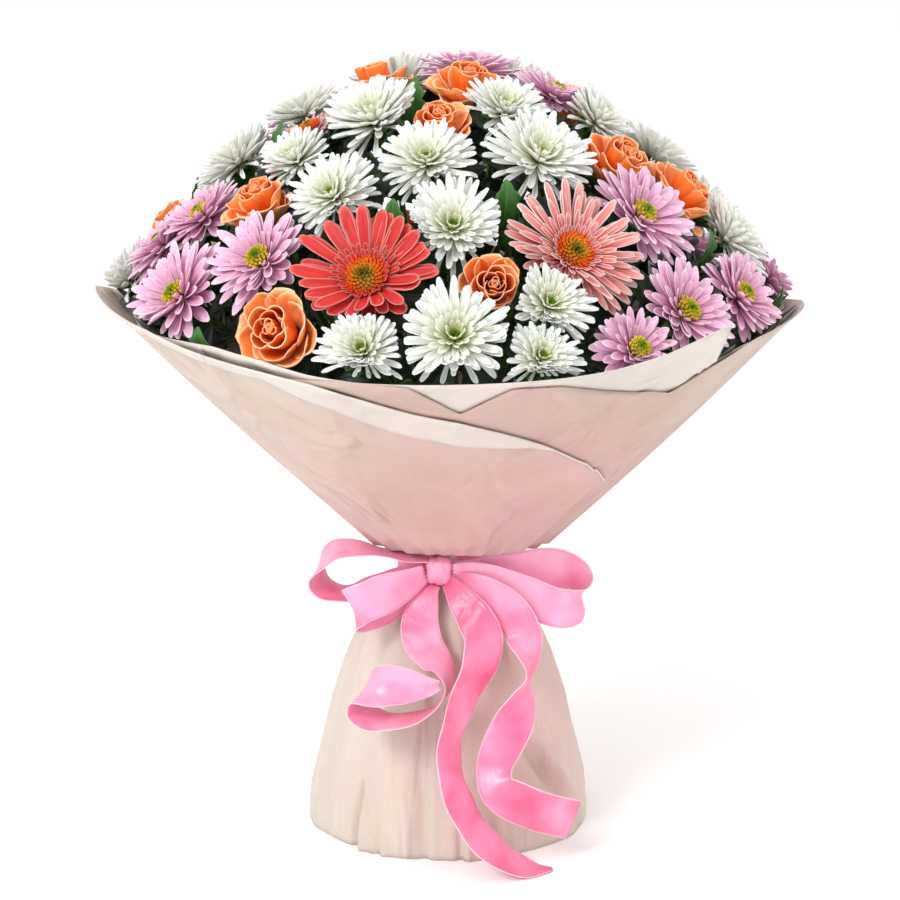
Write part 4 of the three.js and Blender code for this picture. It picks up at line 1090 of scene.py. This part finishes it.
def build_greens():
    """The cups under the heads, the leaves below them and on the paper, and leafy shoots."""
    cups = []
    for head in heads:
        seat = Matrix.Translation((0, 0, -UNDERSIDE[head.kind]))
        size = Matrix.Scale(CUP_SIZE.get(head.kind, 1.0), 4)
        cups.append(copy_of(CALYX, head.stand @ seat @ size, tint=0, inner=0))
    finished(join(cups, "green_cups"), "stems_and_leaves", BRIGHT_LEAF)

    leaves = []
    for head in heads:
        for k in range(LEAVES_PER_HEAD):
            pattern = LOBED_LEAF if k % 2 else POINTED_LEAF
            drop = 0.019 + 0.009 * (k // 2) + chance.uniform(0, 0.006)
            if head.kind == "orange_rose":
                drop += 0.010
            turn = math.tau * (k + chance.uniform(-0.3, 0.3)) * 0.382
            size = Matrix.Scale(chance.uniform(0.9, 1.2), 4)
            matrix = (
                head.stand @ Matrix.Rotation(turn, 4, "Z") @ Matrix.Translation((0.002, 0, -drop))
                @ Matrix.Rotation(-math.radians(chance.uniform(0, 24)), 4, "Y") @ size)
            leaf = copy_of(pattern, matrix, tint=0, inner=0)
            set_points(leaf, press_back(points_of(leaf), head, soft=0.002))
            leaves.append(leaf)
    leaves += collar_leaves()
    finished(join(leaves, "under_leaves"), "stems_and_leaves", LEAF_WITH_PAINTED_SHADE)

    tips = []
    for shoot in shoots:
        flat = level_across(shoot.around).cross(shoot.ray)
        root = BINDING + shoot.ray * (dome_distance(shoot.tilt) - 0.62 * shoot.length)
        stand = Matrix((shoot.ray, flat.cross(shoot.ray), flat)).transposed().to_4x4()
        for k, (turn, size) in enumerate(((0, 1.0), (1.1, 0.75), (-1.0, 0.7))):
            matrix = (
                Matrix.Translation(root - shoot.ray * 0.006 * k) @ stand
                @ Matrix.Rotation(turn * 0.6, 4, "Z") @ Matrix.Rotation(turn, 4, "X")
                @ Matrix.Scale(size * shoot.length / LOBED_LEAF["length"], 4))
            leaf = copy_of(LOBED_LEAF, matrix, tint=0, inner=0)
            set_points(leaf, press_back(points_of(leaf), shoot, soft=0.002))
            tips.append(leaf)
    finished(join(tips, "shoot_leaves"), "stems_and_leaves", BRIGHT_LEAF)


build_stems()
build_greens()

# ------------------------------------------------------------------ paper


def polar(around, r, z):
    """A row of points at those angles round, radii and heights."""
    a = np.radians(around)
    return np.stack([r * np.sin(a), -r * np.cos(a), z + 0 * a], axis=-1)


def surface(name, grid, thickness, material, measure=None, lip=None, lip_rows=0):
    """A sheet through a grid of points, mapped 0 to 1 both ways, or by the measure along it. The
    last lip_rows rows of faces take the lip's material. Its area is that of the middle of its
    thickness."""
    rows, columns = grid.shape[:2]
    index = np.arange(rows * columns).reshape(rows, columns)
    faces = np.stack([index[:-1, :-1], index[:-1, 1:], index[1:, 1:], index[1:, :-1]], axis=-1)
    mesh = bpy.data.meshes.new(name)
    mesh.from_pydata(grid.reshape(-1, 3).tolist(), [], faces.reshape(-1, 4).tolist())
    layer = mesh.uv_layers.new(name="UVMap")
    along = np.linspace(0, 1, rows) if measure is None else measure
    uv = np.stack(np.broadcast_arrays(
        np.asarray(along)[:, None], np.linspace(0, 1, columns)[None, :]), axis=-1).reshape(-1, 2)
    corners = np.empty(len(mesh.loops), dtype=int)
    mesh.loops.foreach_get("vertex_index", corners)
    layer.data.foreach_set("uv", uv[corners].ravel())
    piece = bpy.data.objects.new(name, mesh)
    bpy.context.collection.objects.link(piece)
    piece.data.materials.append(material)
    if lip:
        piece.data.materials.append(lip)
        row_of_face = np.arange(len(mesh.polygons)) // (columns - 1)
        turned = (row_of_face >= rows - 1 - lip_rows).astype(int)
        mesh.polygons.foreach_set("material_index", turned)
    piece["area"] = sum(face.area for face in mesh.polygons)
    finish_with(piece, "SOLIDIFY", thickness=thickness, offset=0)
    smooth_shaded(piece)
    return piece


def on_line(table, x, smooth):
    """The value at each x on a line through [x, value] points, rounded over that many degrees."""
    table = np.array(table)
    offsets = np.linspace(-smooth, smooth, 9)
    return np.mean([np.interp(x + o, table[:, 0], table[:, 1]) for o in offsets], axis=0)


# How far each sheet's edge reaches past the plain rim, as [angle round, mm].
LEFT_EDGE = [
    [-217.5, -8], [-180, 4], [-150, -4], [-105, -4], [-97.5, 2], [-90, 14], [-82.5, 25],
    [-75, 24], [-60, 20], [-52.5, 20], [-45, 12], [-30, 5], [-22.5, -1], [-15, -14],
    [-7.5, -28], [0, -38], [7.5, -53], [15, -69], [22.5, -86], [45, -135],
]
RIGHT_EDGE = [
    [-75, -16], [-30, -4], [-15, 4], [-7.5, 1], [0, -31], [7.5, -1], [15, -2], [22.5, -13],
    [30, -22], [37.5, -24], [45, -9], [52.5, 8], [60, 14], [75, 12], [82.5, 9], [90, 2],
    [97.5, -4], [105, -2], [150, -2], [180, 8], [217.5, -6],
]
LINER_EDGE = [
    [-180, 8], [-150, -2], [-120, 8], [-97.5, 0], [-75, -8], [-60, 2], [-45, 13], [-37.5, 18],
    [-30, 13], [-22.5, 3], [-15, 0], [0, 3], [15, 5], [22.5, 8], [30, 17], [38.5, 40], [42, 14],
    [45, -10], [52.5, 0], [60, -8], [75, -10], [90, -4], [120, 10], [150, 0], [180, 8],
]
# How wide the left sheet's edge is turned back outward, as [angle round, mm].
LEFT_LIP = [
    [-210, 1], [-75, 1], [-62, 5], [-50, 6], [-34, 8], [-31, 6], [-25, 22], [-14, 30], [0, 27],
    [8, 16], [14, 5], [19, 1], [45, 1],
]
# Degrees from column to column of a funnel sheet, and its rows of points to the rim and back.
SHEET_STEP = 1.5
SHEET_ROWS = 36
LIP_ROWS = 8
# Soft creases of the funnel: [angle, share of the slant] at each end, depth in mm, width in
# degrees.
CREASES = [
    [[22, 0.74], [46, 1.0], 4.0, 3.0], [[27, 0.62], [50, 0.80], 3.4, 4.0],
    [[30, 0.48], [52, 0.64], 3.0, 4.0], [[30, 0.30], [48, 0.44], 3.0, 4.0],
    [[-52, 0.86], [-16, 0.6], 2.6, 4.0], [[-44, 0.60], [-12, 0.30], 3.0, 4.0],
    [[-10, 0.50], [18, 0.24], 2.6, 3.4], [[2, 0.44], [14, 0.06], 2.4, 3.0],
    [[130, 0.9], [165, 0.2], 3.4, 3.0], [[-140, 0.85], [-165, 0.15], 3.4, 3.0],
    [[100, 0.3], [120, 0.95], 3.0, 3.0], [[-100, 0.2], [-118, 0.9], 3.0, 3.0],
]


def crease_line(around, share, ends, width):
    """1 on the line between two [angle, share] ends, and a shallower trough close beside it."""
    (a0, s0), (a1, s1) = ends
    t = np.clip((share - s0) / (s1 - s0), 0, 1)
    aside = (around - a0 - t * (a1 - a0)) / width
    past = (np.clip(share, min(s0, s1), max(s0, s1)) - share) * 9
    fold = np.exp(-aside**2) - 0.6 * np.exp(-((aside - 1.7) ** 2))
    return fold * np.exp(-past**2) * (0.35 + 0.65 * np.sin(math.pi * t))


def folds(around, share):
    """How far the funnel bulges at each angle, from its foot (0) to its rim (1)."""
    a = np.radians(around)
    gathers = 0.0010 * np.sin(27 * a + 2 * np.sin(3 * a)) * np.exp(-5 * share)
    waves = 0.0012 * np.sin(3 * a + 0.8 + share) * share
    ripples = 0.0005 * np.sin(11 * a + 3 * share) * np.sin(math.pi * np.clip(share, 0, 1))
    fullness = 0.007 + 0.002 * np.sin(a)
    belly = fullness * np.sin(a) ** 2 * (1 - np.clip(share, 0, 1) ** 2.5)
    bulge = gathers + waves + ripples + belly
    for first, last, depth, width in CREASES:
        bulge = bulge + depth * MM * crease_line(around, share, (first, last), width)
    return bulge


def funnel_sheet(name, node, first, last, layer, edge, material, lip=None):
    """One sheet of the funnel from the first angle to the last, in its layer from inside to
    outside: up the bound stems, out along the funnel and, with a lip, back down outside."""
    around = np.linspace(first, last, int((last - first) / SHEET_STEP) + 1)
    past = on_line(edge, around, 0.6) * MM
    r1, z1 = rim_at(around)
    width, height = r1 - FUNNEL_FOOT[0], z1 - FUNNEL_FOOT[1]
    length = np.hypot(width, height)
    neck = BUNDLE_RADIUS + BUNDLE_CLEARANCE + layer * LAYER_PITCH + PAPER / 2
    neck_top = NECK_TOP - 0.004 - 0.0016 * layer
    rows = [polar(around, neck, NECK_BOTTOM), polar(around, neck, neck_top)]
    shift = layer * LAYER_PITCH + PAPER / 2

    def row_at(run, out):
        out = out + shift + folds(around, run / length)
        r = FUNNEL_FOOT[0] + (run * width + out * height) / length
        z = FUNNEL_FOOT[1] + (run * height - out * width) / length
        return polar(around, r, z) + [FUNNEL_ASIDE, 0, 0]

    top = length + past
    for share in np.linspace(0, 1, SHEET_ROWS):
        rows.append(row_at(share * top, 0))
    if lip:
        # Round the fold and back down, 0.9 to 1.5 mm outside it, or less where the lip fades.
        turned = on_line(lip, around, 0.8) * MM
        fade = np.clip(turned / 0.003, 0.3, 1)
        rows.append(row_at(top + 0.0005 * fade, 0.0004 * fade))
        for share in np.linspace(0, 1, LIP_ROWS):
            rows.append(row_at(top - share * turned, (0.0009 + 0.0006 * share) * fade))
    piece = surface(name, np.stack(rows), PAPER, material,
                    lip=INNER_PAPER if lip else None, lip_rows=LIP_ROWS + 1)
    finished(piece, node)


funnel_sheet("inner_paper", "wrap_liner", -180, 165, 0, LINER_EDGE, INNER_PAPER)
funnel_sheet("right_paper", "wrap_right_sheet", -75, 210, 1, RIGHT_EDGE, RIGHT_PAPER)
funnel_sheet("left_paper", "wrap_left_sheet", -210, 45, 2, LEFT_EDGE, OUTER_PAPER,
             lip=LEFT_LIP)

# The skirt's radius at each height, in mm.
SKIRT_PROFILE = [[0, 98], [20, 97], [45, 91], [87, 81], [118, 71], [143, 60], [160, 49],
                 [178, 30.7], [200, 30.6]]
SKIRT_ROWS = [200, 193, 186, 180, 176, 172, 168, 163, 158, *np.linspace(150, 0, 36)]
WAIST = 178  # the skirt spreads below that height
SKIRT_TURN = 380  # degrees that the sheet goes round
SKIRT_START = 150
FRONT_TUCK = 0.1  # the skirt's rim is that much flatter at the front and back
# Grooves pressed into the skirt: [angle, height in mm] at each end, depth in mm, width in
# degrees.
GROOVES = [
    [[-41, 50], [-44, -20], 6.0, 2.0], [[-30, 34], [-32, -20], 3.0, 1.6],
    [[-12, 60], [-10, -20], 3.0, 2.6], [[5, 30], [6, -20], 3.6, 1.8],
    [[22, 40], [21, -20], 3.0, 2.0], [[33, 92], [66, 4], 9.0, 3.6],
    [[-70, 90], [-76, 0], 2.4, 4.0], [[100, 80], [96, 0], 3.0, 4.0],
    [[130, 60], [137, 0], 2.0, 3.0], [[180, 90], [172, 0], 3.0, 4.0],
    [[-150, 70], [-143, 0], 2.4, 3.0], [[-115, 90], [-110, 0], 3.0, 4.0],
]


def build_skirt():
    """The skirt: gathered under the band, pleated below it, and lapped a little over itself."""
    along = np.linspace(0, SKIRT_TURN, SKIRT_TURN + 1)
    around = (SKIRT_START + along + 180) % 360 - 180
    rows = []
    # Eight soft pleats with ripples on them run down from 37 fine gathers.
    for z in SKIRT_ROWS:
        spread = max(0, 1 - z / WAIST) ** 0.7
        pleat = spread * (1.5 * np.cos(np.radians(8 * along)) + 0.3 * np.sin(np.radians(19 * along)))
        gather = 0.9 * np.exp(-(((z - 168) / 16) ** 2)) * np.sin(np.radians(37 * along))
        lap = (0.7 + 0.3 * spread) * 2.4 * along / SKIRT_TURN
        dent = sum(
            depth * crease_line(around, z, (low, high), width)
            for high, low, depth, width in GROOVES)
        r = np.interp(z, *np.array(SKIRT_PROFILE).T) + lap + pleat + gather - dent + 0.6
        r = r * (1 - FRONT_TUCK * spread * np.cos(np.radians(around)) ** 2)
        rows.append(polar(around, r * MM, z * MM))
    piece = surface("skirt_paper", np.stack(rows[::-1]), PAPER, SKIRT_PAPER)
    finished(piece, "wrap_skirt")


build_skirt()

# ------------------------------------------------------------------ the bow

# Stations of each loop and tail in mm: [place], [from edge to edge], width.
LOOP_LEFT_FRONT = [
    [[-15.4, -46.6, 191.5], [0, 0, 1], 13], [[-27, -55, 187], [-0.3, 0, 1], 21],
    [[-41, -62, 183], [-0.4, 0, 1], 27], [[-53, -68, 179.5], [-0.4, 0, 1], 28],
    [[-61, -67, 176], [-0.4, 0, 1], 28], [[-64, -61, 171], [-0.4, 0, 1], 28],
    [[-58, -54, 167], [-0.4, 0.1, 1], 28], [[-43, -50, 170], [-0.4, 0.2, 1], 26],
    [[-28, -46, 179], [-0.3, 0.1, 1], 20], [[-15.5, -42.3, 188.5], [0, 0, 1], 12],
]
LOOP_LEFT_REAR = [
    [[-13.5, -42, 200.3], [0, 1, 0.2], 10], [[-26, -42, 202.2], [0, 1, 0.1], 16],
    [[-42, -42, 204.9], [0, 1, 0], 22], [[-62, -40, 207.6], [0, 1, 0.1], 26],
    [[-80, -38, 204], [0, 1, 0.3], 30], [[-90, -36, 191], [0.3, 1, 0.4], 30],
    [[-85, -34, 178], [0.3, 1, 0.2], 26], [[-68, -31, 172], [0, 1, 0.3], 22],
    [[-48, -31, 177], [0, 0.5, 1], 18], [[-32, -34, 185], [0, 0, 1], 15],
    [[-19, -38.5, 190], [0, 0, 1], 11],
]
LOOP_RIGHT = [
    [[2.9, -44.5, 192], [0, 0, 1], 12], [[15, -48, 191.5], [0.1, 0, 1], 18],
    [[32, -52, 187], [0.2, 0, 1], 24], [[54, -57.5, 178.5], [0.3, 0, 1], 28],
    [[74, -59, 171.5], [0.2, 0, 1], 28], [[86, -56, 171.5], [0.1, 0, 1], 28],
    [[90.5, -50, 178], [0, 0, 1], 28], [[86, -46, 188], [-0.1, 0, 1], 28],
    [[72, -45.5, 195.5], [-0.1, 0, 1], 28], [[46, -44, 195], [0, 0, 1], 23],
    [[22, -42.5, 193.5], [0.1, 0, 1], 16], [[2.9, -41.2, 192.5], [0, 0, 1], 12],
]
TAIL_LEFT = [
    [[-8.5, -43.5, 182.5], [1, 0, 0], 8], [[-12, -47, 179.5], [1, 0, 0], 12],
    [[-16, -53, 172], [1, 0, 0.1], 20], [[-19, -61, 160], [1, 0.1, 0.2], 26],
    [[-16, -70, 149], [1, 0.4, 0.5], 26], [[-9, -78, 142], [0.8, 0.8, 0.5], 24],
    [[-3, -86, 135], [0.5, 1, 0], 22], [[-2, -96, 124], [0.15, 1, -0.25], 22],
    [[-12, -102, 114], [0, 1, -0.15], 24], [[-32, -100, 106], [0, 1, 0], 26],
    [[-50, -94, 105], [0, 1, 0.25], 27], [[-61, -89, 112], [0.3, 1, 0.45], 28],
    [[-58, -91, 122], [0.8, 0.6, 0.6], 28], [[-44, -97, 130], [0.4, 0.3, 1], 28],
    [[-28, -102, 132], [0.2, 0.2, 1], 24], [[-14, -105, 132.5], [0, 0.3, 1], 14],
    [[-5, -107, 134.5], [0, 0.3, 1], 6],
]
TAIL_MIDDLE = [
    [[-0.5, -46, 185.7], [0.8, 0, 0.6], 9], [[3, -51.5, 183.5], [0.8, 0, 0.6], 13],
    [[9, -61, 178], [0.8, 0, 0.5], 19], [[18, -71, 168], [1, 0.1, 0.4], 25],
    [[24, -77, 155], [1, 0.3, 0.1], 27], [[21, -84, 140], [1, 0.6, -0.2], 28],
    [[13, -91, 124], [1, 0.9, -0.3], 28], [[6, -98, 108], [1, 1.1, -0.2], 27],
    [[1, -104, 90], [1, 1.3, 0], 26], [[2, -109, 70], [1, 1.3, 0.2], 25],
    [[9, -112, 50], [1, 1.3, 0.4], 25], [[20, -114, 31], [0.8, 1.3, 0.5], 25],
    [[34, -114, 17], [0.5, 1, 0.4], 24], [[48, -111, 7.5], [0.3, 1, 0.2], 21],
    [[59, -107, 2.6], [0.3, 1, 0.1], 15], [[70, -103, 0.6], [0.3, 1, 0], 6],
]
TAIL_RIGHT = [
    [[4.6, -46.5, 188.7], [0.4, 0, 0.9], 6], [[15, -53, 187.5], [0.4, 0, 0.9], 13],
    [[28, -58.5, 182], [0.7, 0, 0.8], 20], [[41, -64, 172], [0.9, 0, 0.5], 25],
    [[50, -69, 158], [1, 0, 0.2], 25], [[54, -76, 143], [0.7, 0.7, 0], 22],
    [[54, -84, 130], [0.2, 1, 0], 20], [[50, -90, 117], [0.8, 0.6, -0.4], 24],
    [[44, -95, 103], [1, 0, -0.4], 27], [[36, -100, 88], [1, -0.1, -0.3], 27],
    [[31, -104, 75], [1, 0, 0.2], 24], [[33, -111, 62], [0.6, 0.2, 1], 25],
    [[46, -112, 53], [0.3, 0.1, 1], 28], [[66, -103, 41], [0.15, 0, 1], 28],
    [[85, -89, 30], [0.04, 0, 1], 28],
]


def smooth_through(values, steps):
    """A smooth curve through rows of numbers, with that many steps between two of them."""
    values = np.array(values, dtype=float)
    ends = np.vstack([2 * values[0] - values[1], values, 2 * values[-1] - values[-2]])
    t = np.linspace(0, 1, steps, endpoint=False)[:, None]
    spans = []
    for a, b, c, d in zip(ends, ends[1:], ends[2:], ends[3:]):
        spans.append(b + 0.5 * t * (c - a + t * (2 * a - 5 * b + 4 * c - d
                                                 + t * (3 * (b - c) + d - a))))
    return np.vstack([*spans, values[-1:]])


def ribbon(part, route, painted_sheen):
    """A loop or tail of the bow along its route. Where it is drawn together it gathers in
    folds, and all along it is crowned a little and waves. The last argument shifts its tint, a
    painted sheen: lighter on the loops, deeper on the middle tail."""
    places = smooth_through([place for place, _, _ in route], 7) * MM
    turns = smooth_through([np.array(edge) / np.linalg.norm(edge) for _, edge, _ in route], 7)
    widths = smooth_through([[width] for _, _, width in route], 7)[:, 0] * MM
    run = np.gradient(places, axis=0)
    run /= np.linalg.norm(run, axis=1)[:, None]
    turns -= (turns * run).sum(1)[:, None] * run
    turns /= np.linalg.norm(turns, axis=1)[:, None]
    face = np.cross(run, turns)
    side = np.linspace(-0.5, 0.5, 11)
    measure = np.concatenate([[0], np.cumsum(np.linalg.norm(np.diff(places, axis=0), axis=1))])
    lost = np.clip(1 - widths / RIBBON, 0, 1)
    grid = (
        places[:, None]
        + turns[:, None] * (side[None, :, None] * widths[:, None, None])
        + face[:, None] * (
            0.04 * RIBBON * (0.25 - side[None, :] ** 2)
            + 0.0018 * lost[:, None] * np.cos(side[None, :] * 28)
            + 0.0006 * np.sin(measure[:, None] * 190 + 2.2 * side[None, :])
        )[..., None])
    grid[..., 2] = np.maximum(grid[..., 2], SATIN_THICKNESS / 2)
    piece = surface("bow_" + part, grid, SATIN_THICKNESS, SATIN, measure * 10)
    finished(marked(piece, tint=painted_sheen), "ribbon_" + part)


# The tint shifts are painted sheen: lighter on the loops, deeper on the middle tail.
ribbon("loop_left_front", LOOP_LEFT_FRONT, 0.2)
ribbon("loop_left_rear", LOOP_LEFT_REAR, 0.12)
ribbon("loop_right", LOOP_RIGHT, 0.2)
ribbon("tail_left", TAIL_LEFT, 0.12)
ribbon("tail_middle", TAIL_MIDDLE, -0.1)
ribbon("tail_right", TAIL_RIGHT, 0.02)


def build_band():
    """The ribbon round the neck, crushed into flat folds that run round it."""
    around = np.linspace(0, 360, 121)
    rows = []
    for k, z in enumerate(np.linspace(BAND_FOOT, BAND_TOP, 12)):
        crush = 0.0005 * np.sin(np.radians(8 * around) + 1.7 * k) + 0.0004 * (k % 2)
        rows.append(polar(around, BAND_RADIUS + crush, z))
    grid = np.stack(rows)
    grid[:, -1] = grid[:, 0]
    piece = surface("bow_band", grid, SATIN_THICKNESS, SATIN)
    finished(marked(piece, tint=0), "ribbon_band")


def build_knot():
    """The knot: ribbon drawn tight over itself, its folds running up and down."""
    low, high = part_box("ribbon_knot")
    centre, half = (low + high) / 2, (high - low) / 2
    deselect()
    bpy.ops.mesh.primitive_uv_sphere_add(segments=64, ring_count=48, radius=1)
    piece = bpy.context.object
    piece.name = "bow_knot"
    bpy.ops.transform.rotate(value=math.pi / 2, orient_axis="Y", center_override=(0, 0, 0))
    bpy.ops.object.transform_apply(rotation=True)
    points = points_of(piece)
    points = np.sign(points) * np.abs(points) ** 0.72
    across, height = points[:, 0].copy(), points[:, 2].copy()
    lean = across + 0.3 * height + 0.12 * np.sin(3 * height)
    fold = 0.13 * np.abs(np.sin(4.6 * lean)) - 0.1
    points[:, 1] *= 1 + fold * (1 - 0.5 * across**2)
    points[:, 2] *= 1 + 0.6 * fold + 0.06 * np.sin(5 * across)
    points[:, 0] *= 1 - 0.12 * np.exp(-((height / 0.4) ** 2))
    points *= np.array(half) * [1.12, 1.1, 1.08]
    set_points(piece, points + np.array(centre))
    bpy.ops.object.shade_smooth()
    # Its tint shift is painted sheen, as on the loops.
    finished(marked(piece, tint=0.15), "ribbon_knot", SATIN)


build_band()
build_knot()

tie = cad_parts["stem_tie"]
tie.data.materials.clear()
tie.data.materials.append(twine_material())

for pattern in PATTERNS:
    bpy.data.objects.remove(pattern)

# ------------------------------------------------------------------ floor, light and camera


def build_studio():
    """A pale floor and a daylight tent with two softboxes."""
    deselect()
    bpy.ops.mesh.primitive_plane_add(size=60, location=(0, 0, -0.0002))
    floor = bpy.context.object
    floor.name = "studio_floor"
    material, tree, skin = new_material("Pale studio floor")
    place = add(tree, "ShaderNodeTexCoord").outputs["Object"]
    grain = add(tree, "ShaderNodeTexNoise", {"Vector": place, "Scale": 3})
    pale = add(tree, "ShaderNodeValToRGB", {"Fac": grain.outputs["Fac"]},
               stops=[(0.3, "fdfdfd"), (0.7, "ffffff")])
    feed(tree, skin, {"Base Color": pale.outputs["Color"], "Roughness": 0.9})
    floor.data.materials.append(material)

    world = bpy.data.worlds.new("Soft daylight tent")
    bpy.context.scene.world = world
    world.use_nodes = True
    background = world.node_tree.nodes["Background"]
    feed(world.node_tree, background, {"Color": (1, 1, 1, 1), "Strength": 0.72})

    for name, place, size, power in (
        ("key_softbox", (-1.2, -1.6, 1.7), 0.7, 26),
        ("fill_softbox", (1.7, -1.3, 1.0), 1.2, 5),
        ("ceiling", (0, 0, 6.0), 30, 1150),
    ):
        light = bpy.data.lights.new(name, "AREA")
        light.energy, light.size = power, size
        lamp = bpy.data.objects.new(name, light)
        bpy.context.collection.objects.link(lamp)
        lamp.location = place
        if name != "ceiling":
            aim = Vector((0, 0, 0.3)) - Vector(place)
            lamp.rotation_euler = aim.to_track_quat("-Z", "Y").to_euler()


def build_camera():
    """The photograph's view, fitted to the ovals of the heads and of the skirt's foot."""
    pitch, distance, height = math.radians(15), 1.467, 0.266
    camera = bpy.data.objects.new("photo_camera", bpy.data.cameras.new("photo_camera"))
    bpy.context.collection.objects.link(camera)
    camera.data.lens, camera.data.sensor_width = 85, 36
    camera.data.shift_x = 2 / 900  # the bouquet stands 2 pixels left of the middle
    camera.location = (0, -distance * math.cos(pitch), height + distance * math.sin(pitch))
    camera.rotation_euler = (math.pi / 2 - pitch, 0, 0)
    bpy.context.scene.camera = camera


build_studio()
build_camera()
bpy.context.scene.view_settings.view_transform = "Standard"
